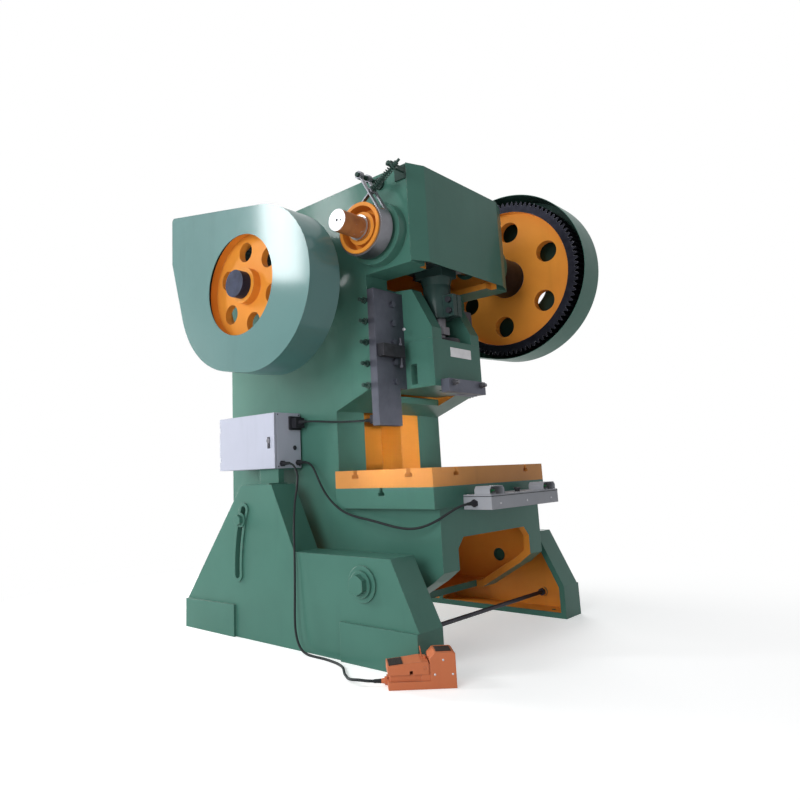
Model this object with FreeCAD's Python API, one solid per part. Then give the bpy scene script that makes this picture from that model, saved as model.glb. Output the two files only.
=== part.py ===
"""Open-back inclinable stamping press.

Millimetres. +X is the operator's right, the front faces -Y, +Z is up.
The origin is on the floor, at the middle of the four floor bolt holes.
The crank is drawn at top dead centre and the frame stands upright.
"""
import FreeCAD, Part
import math
import os

V = FreeCAD.Vector
AXIS_X = V(1, 0, 0)
AXIS_Z = V(0, 0, 1)

# ---- driving dimensions -------------------------------------------------------------------
# Frame
FRAME_HALF = 533.0              # half the width over the side plates
WALL = 40.0                     # thickness of the frame's walls
OPENING_HALF = 283.0            # half the width of the throat and rear openings
FRONT_WINDOW_HALF = 385.0       # half the width of the opening low in the front
FRONT_WINDOW_TOP = 592.0
FRONT_WINDOW_CORNER = 55.0
FRAME_TOP = 2743.0
THROAT_Y = -178.0               # face of the columns behind the table
THROAT_TOP = 1335.0             # the underside of the guide columns slopes up from here
GUIDE_LOW = 1450.0              # where that slope meets the gib faces
OPENING_TOP = 1362.0
GUIDE_Y = -470.0                # face that the gib plates are bolted to
NOSE_Y = -817.0                 # front of the cheeks that carry the crankshaft
NOSE_BOTTOM = 2140.0
FRONT_Y = -905.0                # front panel under the table
REAR_Y = 878.0
COLUMN_DEPTH = 158.0
CHEEK_INNER = 400.0             # inner faces of the cheeks
CRANK_BOSS = FRAME_HALF + 67.0  # outer faces of the crankshaft's bosses
CRANK_BOSS_R = 190.0
COUNTER_BOSS = FRAME_HALF + 42.0
COUNTER_BOSS_R = 170.0
RIB_Y0, RIB_Y1 = 340.0, 400.0   # inner ribs behind the throat
HOOD_FRONT = -862.0             # the pan in front of the cheeks
HOOD_HALF = 411.0               # half the width of its flat front
# Table
TABLE_HALF = 600.0
TABLE_FRONT = -922.0
TABLE_REAR = -211.0
BED_BOTTOM = 755.0
BED_TOP = 869.0
BOLSTER_TOP = 970.0
T_SLOT_Y = (-762.0, -372.0)     # slots that run left to right
T_SLOT_X = (-382.0, 382.0)      # slots that run front to back
BED_SLOT_Y = -562.0
# Legs
LEG_OUTER = 846.0
LEG_INNER = 658.0
LEG_WEB = 30.0
LEG_FLANGE = 35.0
PAD_PROUD = 18.0                # foot pads and slot rims stand this far out of the web
FLOOR_BOLT_X = 735.0
FLOOR_BOLT_Y = 850.0
FLOOR_BOLT_R = 16.5
PIVOT_Y, PIVOT_Z = -620.0, 395.0
PIVOT_R = 40.0
SLOT_ARC = 1035.0               # the slot runs round the pivot at this radius
SLOT_HALF = 23.0
SLOT_TOP_DEG, SLOT_BOTTOM_DEG = 20.5, -1.5
LOCK_DEG = 17.0                 # the locking bolt, with the frame upright
LOCK_R = 20.0
TIE_Y, TIE_Z, TIE_R = -740.0, 125.0, 12.0
# Crank, rod and slide
CRANK_Y, CRANK_Z = -610.0, 2352.0
STROKE = 130.0
PIN_OFFSET = STROKE / 4.0       # crank pin off the shaft, and its sleeve off the pin
JOURNAL_R = 75.0
PIN_R = 80.0
END_R = 64.0                    # bare end of the shaft outside the brake drum
END_X = -920.0
BUSH_R = 100.0
COLLAR_R = 105.0                # thrust collar between the right boss and the gear
SLEEVE_R = 128.0
ROD_HALF = 80.0                 # half the width of the big end
BALL_Z = 1690.0
BALL_R = 70.0
SCREW_R = 45.0
SLIDE_HALF = 258.0              # half the gap between the gib plates
WAY_HALF = 335.0                # half the gap between the ways behind them
WAY_REAR = -328.0
SLIDE_FRONT = -735.0
SLIDE_BOTTOM = 1450.0
SLIDE_SEAM = 1742.0
SLIDE_TOP = 2082.0
SLIDE_PLAY = 0.2                # between the slide and each of its ways
GIB_FRONT = -522.0
GIB_BOTTOM, GIB_TOP = 1225.0, 2050.0
SHANK_R = 30.0
RUNNING = 0.08                  # radial clearance of shafts in their bores
# Gear train
MODULE = 12.0
GEAR_TEETH, PINION_TEETH = 95, 28
GEAR_DROP = 240.0               # countershaft below the crankshaft
GEAR_X0, GEAR_X1 = 880.0, 1030.0
GEAR_HUB_R = 140.0
GEAR_RIM_INNER = 506.0
GEAR_RECESS = 45.0
COUNTER_R = 55.0
WHEEL_R = 450.0
WHEEL_RIM_INNER = 335.0
WHEEL_X0, WHEEL_X1 = -1040.0, -880.0
WHEEL_WEB = (-990.0, -945.0)
WHEEL_HUB_R = 110.0
WHEEL_HOLE_CIRCLE, WHEEL_HOLE_R, WHEEL_HOLE_PHASE = 232.0, 62.0, 22.0
BELT_GROOVES = 5
MOTOR_Y, MOTOR_Z = 640.0, 2530.0
PULLEY_R = 92.0
# Guards
SHEET = 4.0
GUARD_X0, GUARD_X1 = -1070.0, -834.0
GUARD_Y, GUARD_Z, GUARD_R = -30.0, 2065.0, 505.0
GUARD_REAR_TOP = (838.0, 2762.0)
GUARD_REAR_MID = (833.0, 2426.0)
GUARD_REAR_LOW = (596.0, 1652.0)
GUARD_TOP_ROUND, GUARD_LOW_ROUND = 25.0, 600.0
GUARD_HOLE_R = 312.0
GEAR_GUARD_R = 625.0
GEAR_GUARD_HOLE_R = 240.0
GEAR_GUARD_Z = CRANK_Z + 15.0   # the cover sits a little high on the gear
LOBE_R = 215.0                  # its lobe over the pinion
GEAR_GUARD_X0, GEAR_GUARD_X1 = 890.0, 1115.0
# Brake
DRUM_R = 152.0
DRUM_X1 = -CRANK_BOSS - 18.0
DRUM_X0 = DRUM_X1 - 120.0
BAND_X0, BAND_X1 = DRUM_X0 + 10.0, DRUM_X1 - 10.0
SPRING_R, SPRING_WIRE, SPRING_TURNS = 18.0, 3.0, 11
# Electrics
BOX_X1 = -FRAME_HALF - 15.0
BOX = (BOX_X1 - 202.0, BOX_X1, 142.0, 710.0, 1003.0, 1350.0)
CONSOLE = (-330.0, 430.0, -1098.0, -922.0, 737.0, 816.0)
SWITCH_X, SWITCH_Y, SWITCH_TURN = -919.0, -1018.0, -46.0

COUNTER_Z = CRANK_Z - GEAR_DROP
CENTRES = MODULE * (GEAR_TEETH + PINION_TEETH) / 2.0
COUNTER_Y = CRANK_Y + math.sqrt(CENTRES ** 2 - GEAR_DROP ** 2)
PIN_Z = CRANK_Z + PIN_OFFSET
BIG_END_Z = PIN_Z + PIN_OFFSET

os.makedirs("parts", exist_ok=True)


# ---- helpers ------------------------------------------------------------------------------
def box(x0, x1, y0, y1, z0, z1):
    return Part.makeBox(x1 - x0, y1 - y0, z1 - z0, V(x0, y0, z0))


def rod_x(y, z, radius, x0, x1):
    return Part.makeCylinder(radius, x1 - x0, V(x0, y, z), AXIS_X)


def rod_y(x, z, radius, y0, y1):
    return Part.makeCylinder(radius, y1 - y0, V(x, y0, z), V(0, 1, 0))


def rod_z(x, y, radius, z0, z1):
    return Part.makeCylinder(radius, z1 - z0, V(x, y, z0), AXIS_Z)


def tube_x(y, z, outer, inner, x0, x1):
    return rod_x(y, z, outer, x0, x1).cut(rod_x(y, z, inner, x0 - 1, x1 + 1))


def side_face(points):
    """A flat face in the plane x = 0, from (y, z) corners."""
    loop = [V(0, y, z) for y, z in points]
    return Part.Face(Part.makePolygon(loop + loop[:1]))


def side_prism(points, x0, x1):
    """A plate cut to (y, z) corners, from x0 to x1."""
    plate = side_face(points).extrude(V(x1 - x0, 0, 0))
    plate.translate(V(x0, 0, 0))
    return plate


def plan_prism(points, z0, z1):
    loop = [V(x, y, z0) for x, y in points]
    return Part.Face(Part.makePolygon(loop + loop[:1])).extrude(V(0, 0, z1 - z0))


def mirrored(shape):
    return shape.mirror(V(0, 0, 0), AXIS_X)


def fused(shapes):
    whole = shapes[0]
    if len(shapes) > 1:
        whole = whole.multiFuse(shapes[1:])
    return whole.removeSplitter()


def hexagon(across, length, base, direction):
    """A hexagonal bar that starts at base and runs along direction."""
    radius = across / math.sqrt(3.0)
    corners = [V(radius * math.cos(math.radians(60 * k)), radius * math.sin(math.radians(60 * k)), 0)
               for k in range(6)]
    bar = Part.Face(Part.makePolygon(corners + corners[:1])).extrude(V(0, 0, length))
    bar.Placement = FreeCAD.Placement(base, FreeCAD.Rotation(AXIS_Z, direction))
    return bar


def save(name, shape):
    if not shape.isValid():
        raise RuntimeError(name + " is not a valid shape")
    shape.exportStep("parts/" + name + ".step")
    print(name, len(shape.Solids), "solids", round(shape.Volume / 1e6, 3), "dm3")


def arc_point(centre_y, centre_z, radius, degrees):
    """The (y, z) point at an angle from +Y towards +Z."""
    turn = math.radians(degrees)
    return centre_y + radius * math.cos(turn), centre_z + radius * math.sin(turn)


# ---- cords --------------------------------------------------------------------------------
def cord_tube(name, points, diameter):
    """A round tube along straight runs joined by tangent arcs."""
    route = [V(*p) for p in points]
    edges = []
    start = route[0]
    for before, corner, after in zip(route, route[1:], route[2:]):
        into = (corner - before).normalize()
        out = (after - corner).normalize()
        half_turn = into.getAngle(out) / 2.0
        setback = 0.45 * min((corner - before).Length, (after - corner).Length)
        radius = setback / math.tan(half_turn)
        first = corner - into * setback
        last = corner + out * setback
        inward = (out - into).normalize()
        middle = corner + inward * (radius / math.cos(half_turn) - radius)
        edges.append(Part.LineSegment(start, first).toShape())
        edges.append(Part.Arc(first, middle, last).toShape())
        print(name, "bend radius", round(radius, 1), "turn", round(math.degrees(2 * half_turn), 1))
        start = last
    edges.append(Part.LineSegment(start, route[-1]).toShape())
    path = Part.Wire(edges)
    heading = (route[1] - route[0]).normalize()
    ring = Part.Wire(Part.makeCircle(diameter / 2.0, route[0], heading))
    tube = path.makePipeShell([ring], True, False)
    section = math.pi * diameter ** 2 / 4.0
    print(name, "length", round(path.Length), "volume ratio", round(tube.Volume / (section * path.Length), 4))
    return tube


# ---- legs ---------------------------------------------------------------------------------
LEG_OUTLINE = [(970, 0), (970, 178), (383, 908), (91, 908), (-99, 528), (-810, 528), (-968, 196), (-968, 0)]
LOCK_Y, LOCK_Z = arc_point(PIVOT_Y, PIVOT_Z, SLOT_ARC, LOCK_DEG)
TIE_END = -LEG_OUTER + 8.0      # the rod stops short of the web's outer face
TIE_BOSS = -LEG_OUTER + LEG_WEB + 10.0


def slot_plate(half_width, x0, x1):
    """A curved bar with round ends that follows the slot, from x0 to x1."""
    outer = SLOT_ARC + half_width
    inner = SLOT_ARC - half_width
    mid = (SLOT_TOP_DEG + SLOT_BOTTOM_DEG) / 2.0

    def at(radius, degrees):
        y, z = arc_point(PIVOT_Y, PIVOT_Z, radius, degrees)
        return V(x0, y, z)

    def end_cap(degrees, beyond):
        y, z = arc_point(PIVOT_Y, PIVOT_Z, SLOT_ARC, degrees)
        cy, cz = arc_point(y, z, half_width, degrees + beyond)
        return V(x0, cy, cz)

    edges = [Part.Arc(at(outer, SLOT_BOTTOM_DEG), at(outer, mid), at(outer, SLOT_TOP_DEG)).toShape(),
             Part.Arc(at(outer, SLOT_TOP_DEG), end_cap(SLOT_TOP_DEG, 90), at(inner, SLOT_TOP_DEG)).toShape(),
             Part.Arc(at(inner, SLOT_TOP_DEG), at(inner, mid), at(inner, SLOT_BOTTOM_DEG)).toShape(),
             Part.Arc(at(inner, SLOT_BOTTOM_DEG), end_cap(SLOT_BOTTOM_DEG, -90),
                      at(outer, SLOT_BOTTOM_DEG)).toShape()]
    return Part.Face(Part.Wire(edges)).extrude(V(x1 - x0, 0, 0))


def left_leg():
    """A cast web with a flange all round it, open towards the frame."""
    web_inner = -LEG_OUTER + LEG_WEB
    block = side_prism(LEG_OUTLINE, -LEG_OUTER, -LEG_INNER)
    hollow = side_face(LEG_OUTLINE).makeOffset2D(-LEG_FLANGE, 2).extrude(V(200, 0, 0))
    hollow.translate(V(web_inner, 0, 0))
    leg = block.cut(hollow)
    rear_pad = side_prism([(448, 0), (970, 0), (970, 178), (448, 188)], -LEG_OUTER - PAD_PROUD, -LEG_OUTER)
    front_pad = side_prism([(-968, 0), (-458, 0), (-458, 196), (-968, 196)],
                           -LEG_OUTER - PAD_PROUD, -LEG_OUTER)
    slot_rim = slot_plate(SLOT_HALF + 20, -LEG_OUTER - 12, -LEG_OUTER)
    boss = rod_x(PIVOT_Y, PIVOT_Z, 92, -LEG_OUTER - 12, -LEG_INNER)
    rib = box(web_inner, -LEG_INNER, -30, 5, LEG_FLANGE, 528)
    tie_boss = rod_x(TIE_Y, TIE_Z, 30, -LEG_OUTER, TIE_BOSS)
    leg = fused([leg, rear_pad, front_pad, slot_rim, boss, rib, tie_boss])
    leg = leg.cut(slot_plate(SLOT_HALF, -LEG_OUTER - 20, -LEG_INNER))
    leg = leg.cut(rod_x(PIVOT_Y, PIVOT_Z, PIVOT_R, -LEG_OUTER - 20, -LEG_INNER + 5))
    leg = leg.cut(rod_x(TIE_Y, TIE_Z, TIE_R, TIE_END, TIE_BOSS + 1))
    for y in (-FLOOR_BOLT_Y, FLOOR_BOLT_Y):
        leg = leg.cut(rod_z(-FLOOR_BOLT_X, y, FLOOR_BOLT_R, -5, LEG_FLANGE + 5))
    return leg


def pivot_bolts():
    head = -LEG_OUTER - 12
    bolt = fused([rod_x(PIVOT_Y, PIVOT_Z, PIVOT_R, head, -FRAME_HALF - 2),
                  rod_x(PIVOT_Y, PIVOT_Z, 68, head - 14, head),
                  hexagon(92, 34, V(head - 48, PIVOT_Y, PIVOT_Z), AXIS_X)])
    return Part.Compound([bolt, mirrored(bolt)])


def lock_bolts():
    """The bolt and washer that clamp the frame's boss against the slotted web."""
    face = -LEG_OUTER - 12
    bolt = fused([rod_x(LOCK_Y, LOCK_Z, LOCK_R, face, -LEG_OUTER + LEG_WEB + 0.3),
                  rod_x(LOCK_Y, LOCK_Z, 44, face - 10.3, face - 0.3),
                  rod_x(LOCK_Y, LOCK_Z, LOCK_R, face - 2, face + 2),
                  hexagon(56, 26, V(face - 36.3, LOCK_Y, LOCK_Z), AXIS_X)])
    return Part.Compound([bolt, mirrored(bolt)])


def tie_rod():
    """The rod that spaces the legs in front, with a nut against each web."""
    bar = rod_x(TIE_Y, TIE_Z, TIE_R, TIE_END, -TIE_END)
    nut = hexagon(42, 20, V(TIE_BOSS, TIE_Y, TIE_Z), AXIS_X)
    nut = nut.cut(rod_x(TIE_Y, TIE_Z, TIE_R, TIE_BOSS - 1, TIE_BOSS + 21))
    return Part.Compound([bar, nut, mirrored(nut)])


# ---- frame --------------------------------------------------------------------------------
FRAME_OUTLINE = [(FRONT_Y, BED_TOP), (FRONT_Y, 425), (-830, 368), (-547, 200), (-200, 200),
                 (REAR_Y, 690), (REAR_Y, 2300), (430, 2300), (300, FRAME_TOP), (NOSE_Y, FRAME_TOP),
                 (NOSE_Y, NOSE_BOTTOM), (GUIDE_Y, NOSE_BOTTOM), (GUIDE_Y, GUIDE_LOW),
                 (THROAT_Y, THROAT_TOP), (THROAT_Y, BED_TOP)]
COLUMN_REAR = -250.0            # back of the guide columns
BUSH_INNER = CHEEK_INNER - 15.0  # the crankshaft's bosses reach a little into the chamber
BARREL_R = 95.0                 # the countershaft housings' bore in the side plates


def slope_height(y):
    """Height of the guide columns' sloping underside at y."""
    share = (y - THROAT_Y) / (GUIDE_Y - THROAT_Y)
    return THROAT_TOP + share * (GUIDE_LOW - THROAT_TOP)


def guide_column(x0, x1):
    return side_prism([(GUIDE_Y, GUIDE_LOW), (COLUMN_REAR, slope_height(COLUMN_REAR)),
                       (COLUMN_REAR, NOSE_BOTTOM), (GUIDE_Y, NOSE_BOTTOM)], x0, x1)


def t_slot(length_axis, centre, start, end, top, mouth=28.0, foot=50.0, foot_height=20.0, depth=45.0):
    """The hollow of one T-slot, sunk into a face at height top."""
    if length_axis == "x":
        neck = box(start, end, centre - mouth / 2, centre + mouth / 2, top - depth, top + 1)
        wide = box(start, end, centre - foot / 2, centre + foot / 2, top - depth, top - depth + foot_height)
    else:
        neck = box(centre - mouth / 2, centre + mouth / 2, start, end, top - depth, top + 1)
        wide = box(centre - foot / 2, centre + foot / 2, start, end, top - depth, top - depth + foot_height)
    return neck.fuse(wide)


def front_window():
    """The opening under the table, with its two upper corners cut across."""
    half, top, corner = FRONT_WINDOW_HALF, FRONT_WINDOW_TOP, FRONT_WINDOW_CORNER
    loop = [V(x, FRONT_Y - 1, z) for x, z in ((-half, 150), (-half, top - corner), (corner - half, top),
                                              (half - corner, top), (half, top - corner), (half, 150))]
    return Part.Face(Part.makePolygon(loop + loop[:1])).extrude(V(0, -500 - FRONT_Y, 0))


def c_frame():
    shell = side_prism(FRAME_OUTLINE, -FRAME_HALF, FRAME_HALF)
    hollow = side_face(FRAME_OUTLINE).makeOffset2D(-WALL, 2)
    hollow = hollow.extrude(V(2 * (FRAME_HALF - WALL), 0, 0))
    hollow.translate(V(-FRAME_HALF + WALL, 0, 0))
    shell = shell.cut(hollow)
    inner = FRAME_HALF - WALL
    adds = []
    for side in (-1, 1):
        x_near, x_far = sorted((side * OPENING_HALF, side * (inner + 1)))
        adds.append(box(x_near, x_far, THROAT_Y, THROAT_Y + COLUMN_DEPTH, BED_TOP - 1, THROAT_TOP + 40))
        adds.append(box(x_near, x_far, RIB_Y0, RIB_Y1, 700, 2000))
        x_near, x_far = sorted((side * WAY_HALF, side * (inner + 1)))
        adds.append(guide_column(x_near, x_far))
        x_near, x_far = sorted((side * CHEEK_INNER, side * (inner + 1)))
        adds.append(box(x_near, x_far, NOSE_Y, GUIDE_Y + WALL, NOSE_BOTTOM, FRAME_TOP - WALL + 1))
        x_near, x_far = sorted((side * BUSH_INNER, side * CRANK_BOSS))
        adds.append(rod_x(CRANK_Y, CRANK_Z, CRANK_BOSS_R, x_near, x_far))
        x_near, x_far = sorted((side * (inner - 33), side * COUNTER_BOSS))
        adds.append(rod_x(COUNTER_Y, COUNTER_Z, COUNTER_BOSS_R, x_near, x_far))
        x_near, x_far = sorted((side * (FRAME_HALF - 20), side * (LEG_INNER - 0.3)))
        adds.append(rod_x(PIVOT_Y, PIVOT_Z, 88, x_near, x_far))
        x_near, x_far = sorted((side * (FRAME_HALF - 20), side * (LEG_OUTER - LEG_WEB - 0.3)))
        adds.append(rod_x(LOCK_Y, LOCK_Z, 58, x_near, x_far))
    adds.append(box(-TABLE_HALF, TABLE_HALF, TABLE_FRONT, TABLE_REAR, BED_BOTTOM, BED_TOP))
    adds.append(box(-inner, inner, TABLE_REAR - 1, THROAT_Y + 60, BED_BOTTOM, BED_TOP))
    adds.append(box(-WAY_HALF - 5, WAY_HALF + 5, WAY_REAR, COLUMN_REAR, 1500, NOSE_BOTTOM - 15))
    frame = fused([shell] + adds)
    way = box(-WAY_HALF, WAY_HALF, GUIDE_Y - 5, WAY_REAR, THROAT_TOP - 5, NOSE_BOTTOM - 15)
    nose_floor = box(-WAY_HALF, WAY_HALF, NOSE_Y + WALL, WAY_REAR, NOSE_BOTTOM - 60, NOSE_BOTTOM + WALL + 1)
    nose_front = box(-CHEEK_INNER, CHEEK_INNER, NOSE_Y - 1, NOSE_Y + WALL + 1,
                     NOSE_BOTTOM - 1, FRAME_TOP - WALL)
    throat = box(-OPENING_HALF, OPENING_HALF, THROAT_Y - 1, THROAT_Y + COLUMN_DEPTH + 1, BED_TOP, OPENING_TOP)
    rear = box(-OPENING_HALF, OPENING_HALF, REAR_Y - WALL - 1, REAR_Y + 1, 900, 1650)
    front = front_window()
    frame = frame.cut(fused([way, nose_floor, throat]))
    for opening in (nose_front, rear, front):
        frame = frame.cut(opening)
    holes = [rod_x(CRANK_Y, CRANK_Z, BUSH_R, -CRANK_BOSS - 10, CRANK_BOSS + 10),
             rod_x(COUNTER_Y, COUNTER_Z, BARREL_R, -COUNTER_BOSS - 10, COUNTER_BOSS + 10),
             rod_x(PIVOT_Y, PIVOT_Z, PIVOT_R + RUNNING, -LEG_INNER, -450),
             rod_x(PIVOT_Y, PIVOT_Z, PIVOT_R + RUNNING, 450, LEG_INNER),
             rod_z(0, CRANK_Y, 110, 700, 900)]
    for side in (-1, 1):
        x_near, x_far = sorted((side * (FRAME_HALF - 40), side * (FRAME_HALF + 5)))
        for z in ADJUSTER_Z:
            holes.append(rod_x(ADJUSTER_Y, z, ADJUSTER_R, x_near, x_far))
    frame = frame.cut(fused(holes[:5]))
    frame = frame.cut(Part.Compound(holes[5:]))
    for side in (-1, 1):
        start, end = sorted((side * 430.0, side * (TABLE_HALF + 1)))
        frame = frame.cut(t_slot("x", BED_SLOT_Y, start, end, BED_TOP, mouth=24, foot=46))
    return frame.removeSplitter()


def bolster():
    plate = box(-TABLE_HALF, TABLE_HALF, TABLE_FRONT, TABLE_REAR, BED_TOP, BOLSTER_TOP)
    plate = plate.cut(rod_z(0, CRANK_Y, 90, BED_TOP - 1, BOLSTER_TOP + 1))
    for y in T_SLOT_Y:
        plate = plate.cut(t_slot("x", y, -TABLE_HALF - 1, TABLE_HALF + 1, BOLSTER_TOP))
    for x in T_SLOT_X:
        plate = plate.cut(t_slot("y", x, TABLE_FRONT - 1, TABLE_REAR + 1, BOLSTER_TOP))
    return plate


def front_hood():
    """The pan that closes the front of the crank chamber."""
    edge, sheet = 14.0, 6.0
    half, front = HOOD_HALF - 1.4, HOOD_FRONT + sheet
    outline = [(-FRAME_HALF, NOSE_Y), (-HOOD_HALF, HOOD_FRONT), (HOOD_HALF, HOOD_FRONT), (FRAME_HALF, NOSE_Y)]
    inside = [(-FRAME_HALF + edge, NOSE_Y + 1), (-FRAME_HALF + edge, NOSE_Y), (-half, front), (half, front),
              (FRAME_HALF - edge, NOSE_Y), (FRAME_HALF - edge, NOSE_Y + 1)]
    top = FRAME_TOP + 5
    pan = plan_prism(outline, NOSE_BOTTOM + 10, top)
    return pan.cut(plan_prism(inside, NOSE_BOTTOM, top - sheet))


def crank_bushes():
    bush = tube_x(CRANK_Y, CRANK_Z, BUSH_R, JOURNAL_R + RUNNING, BUSH_INNER, CRANK_BOSS)
    return Part.Compound([bush, mirrored(bush)])


HOUSING_END = 770.0             # outer ends of the countershaft's housings


def counter_housings():
    """The long flanged bearing housings of the countershaft, one on each side plate."""
    start = FRAME_HALF - 13
    flange = COUNTER_BOSS + 30
    barrel = fused([rod_x(COUNTER_Y, COUNTER_Z, BARREL_R, start, HOUSING_END - 10),
                    rod_x(COUNTER_Y, COUNTER_Z, 150, COUNTER_BOSS, flange),
                    rod_x(COUNTER_Y, COUNTER_Z, 108, HOUSING_END - 30, HOUSING_END)])
    barrel = barrel.cut(rod_x(COUNTER_Y, COUNTER_Z, COUNTER_R + RUNNING, start - 1, HOUSING_END + 1))
    return Part.Compound([barrel, mirrored(barrel)])


# ---- gibs ---------------------------------------------------------------------------------
ADJUSTER_Y = -452.0
ADJUSTER_R = 9.0
ADJUSTER_Z = [1464.0 + 130.0 * k for k in range(5)]
GIB_BOLT_X = 365.0
GIB_BOLT_Z = [1490.0 + 120.0 * k for k in range(5)]
GIB_TAIL_X = 322.0              # the left plate's lower end is narrower


def gib_plate(bottom):
    plate = box(-FRAME_HALF, -SLIDE_HALF, GIB_FRONT, GUIDE_Y, bottom, GIB_TOP)
    for z in GIB_BOLT_Z:
        plate = plate.cut(rod_y(-GIB_BOLT_X, z, 12, GIB_FRONT - 1, GUIDE_Y + 1))
    return plate


def left_gib():
    """The left plate, with the tail that hangs below the guide column and carries the switch."""
    tail = box(-FRAME_HALF, -GIB_TAIL_X, GIB_FRONT, GUIDE_Y, GIB_BOTTOM, GUIDE_LOW + 1)
    return fused([gib_plate(GUIDE_LOW), tail])


def right_gib():
    return mirrored(gib_plate(GUIDE_LOW))


def gib_bolts():
    bolts = []
    for z in GIB_BOLT_Z:
        bolt = rod_y(-GIB_BOLT_X, z, 12, GIB_FRONT, GUIDE_Y)
        head = hexagon(36, 16, V(-GIB_BOLT_X, GIB_FRONT - 16, z), V(0, 1, 0))
        bolt = bolt.fuse(head).removeSplitter()
        bolts += [bolt, mirrored(bolt)]
    return Part.Compound(bolts)


def gib_adjusters():
    screws = []
    for z in ADJUSTER_Z:
        face = -FRAME_HALF
        screw = fused([rod_x(ADJUSTER_Y, z, ADJUSTER_R, face - 42, face + 40),
                       hexagon(36, 16, V(face - 16, ADJUSTER_Y, z), AXIS_X),
                       hexagon(22, 12, V(face - 54, ADJUSTER_Y, z), AXIS_X)])
        screws += [screw, mirrored(screw)]
    return Part.Compound(screws)


KNOCK_X0, KNOCK_X1 = -520.0, -316.0
KNOCK_Z0, KNOCK_Z1 = 1632.0, 1708.0


def knockout_brackets():
    """The stop blocks on the gib plates that the knock-out screws are set in."""
    block = box(KNOCK_X0, KNOCK_X1, GIB_FRONT - 46, GIB_FRONT - 16.5, KNOCK_Z0, KNOCK_Z1)
    foot = box(KNOCK_X0, -GIB_BOLT_X - 25, GIB_FRONT - 46, GIB_FRONT, KNOCK_Z0, KNOCK_Z1)
    block = fused([block, foot])
    block = block.cut(rod_z(-336, GIB_FRONT - 31, 10, KNOCK_Z0 - 1, KNOCK_Z1 + 1))
    return Part.Compound([block, mirrored(block)])


def knockout_screws():
    x, y = -336.0, GIB_FRONT - 31
    screw = fused([rod_z(x, y, 10, KNOCK_Z0 - 45, KNOCK_Z1 + 50),
                   hexagon(30, 14, V(x, y, KNOCK_Z1), AXIS_Z),
                   hexagon(30, 14, V(x, y, KNOCK_Z0 - 59), AXIS_Z)])
    return Part.Compound([screw, mirrored(screw)])


# ---- crank train --------------------------------------------------------------------------
GEAR_HUB_X = CRANK_BOSS + 46.0  # the gear's long hub starts here


def crankshaft():
    near, far = ROD_HALF + 6, ROD_HALF + 90
    left_web = side_prism(web_outline(), -far, -near)
    right_web = side_prism(web_outline(), near, far)
    return fused([rod_x(CRANK_Y, CRANK_Z, END_R, END_X, DRUM_X0),
                  rod_x(CRANK_Y, CRANK_Z, JOURNAL_R, DRUM_X0 - 6, -far + 30),
                  rod_x(CRANK_Y, CRANK_Z, JOURNAL_R, far - 30, GEAR_X1 + 40),
                  rod_x(CRANK_Y, CRANK_Z, COLLAR_R, CRANK_BOSS + 4, GEAR_HUB_X - 6),
                  left_web, right_web,
                  rod_x(CRANK_Y, PIN_Z, PIN_R, -ROD_HALF - 20, ROD_HALF + 20)])


def web_outline():
    """A crank web, square-shouldered with a narrower top."""
    return [(CRANK_Y - 110, CRANK_Z - 120), (CRANK_Y + 110, CRANK_Z - 120),
            (CRANK_Y + 130, CRANK_Z), (CRANK_Y + 95, CRANK_Z + 135),
            (CRANK_Y - 95, CRANK_Z + 135), (CRANK_Y - 130, CRANK_Z)]


def sleeve():
    """The eccentric sleeve on the crank pin that sets the stroke."""
    body = rod_x(CRANK_Y, BIG_END_Z, SLEEVE_R, -ROD_HALF - 4, ROD_HALF + 4)
    return body.cut(rod_x(CRANK_Y, PIN_Z, PIN_R + RUNNING, -ROD_HALF - 5, ROD_HALF + 5))


BIG_END_R = 178.0
SHOULDER_BOTTOM = BIG_END_Z - BIG_END_R - 4.0   # underside of the big end's bolting shoulder
HOUSING_TOP = SHOULDER_BOTTOM - 110.0
HOUSING_HEIGHT = 220.0          # the threaded housing that takes the adjusting screw
HOUSING_BOTTOM = HOUSING_TOP - HOUSING_HEIGHT
HOUSING_R = 88.0
NECK_R = 104.0
NECK_HEIGHT = 50.0
EAR_HEIGHT = 140.0              # the split ears that clamp the screw
CLAMP_Z = (HOUSING_BOTTOM + 35.0, HOUSING_BOTTOM + 105.0)
CLAMP_Y = CRANK_Y - 120.0
CLAMP_BOLT_R = 12.0
ROD_BOLT_REACH = 153.0          # the cap bolts, in front of and behind the big end's centre
ROD_BOLT_R = 16.0
CAP_SEAT = 45.0                 # the cap bolts' nuts sit this far above the joint


def half_space(z0, z1):
    """A block that takes in everything about the big end between two heights."""
    reach = 2 * BIG_END_R
    return box(-reach, reach, CRANK_Y - reach, CRANK_Y + reach, z0, z1)


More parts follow.
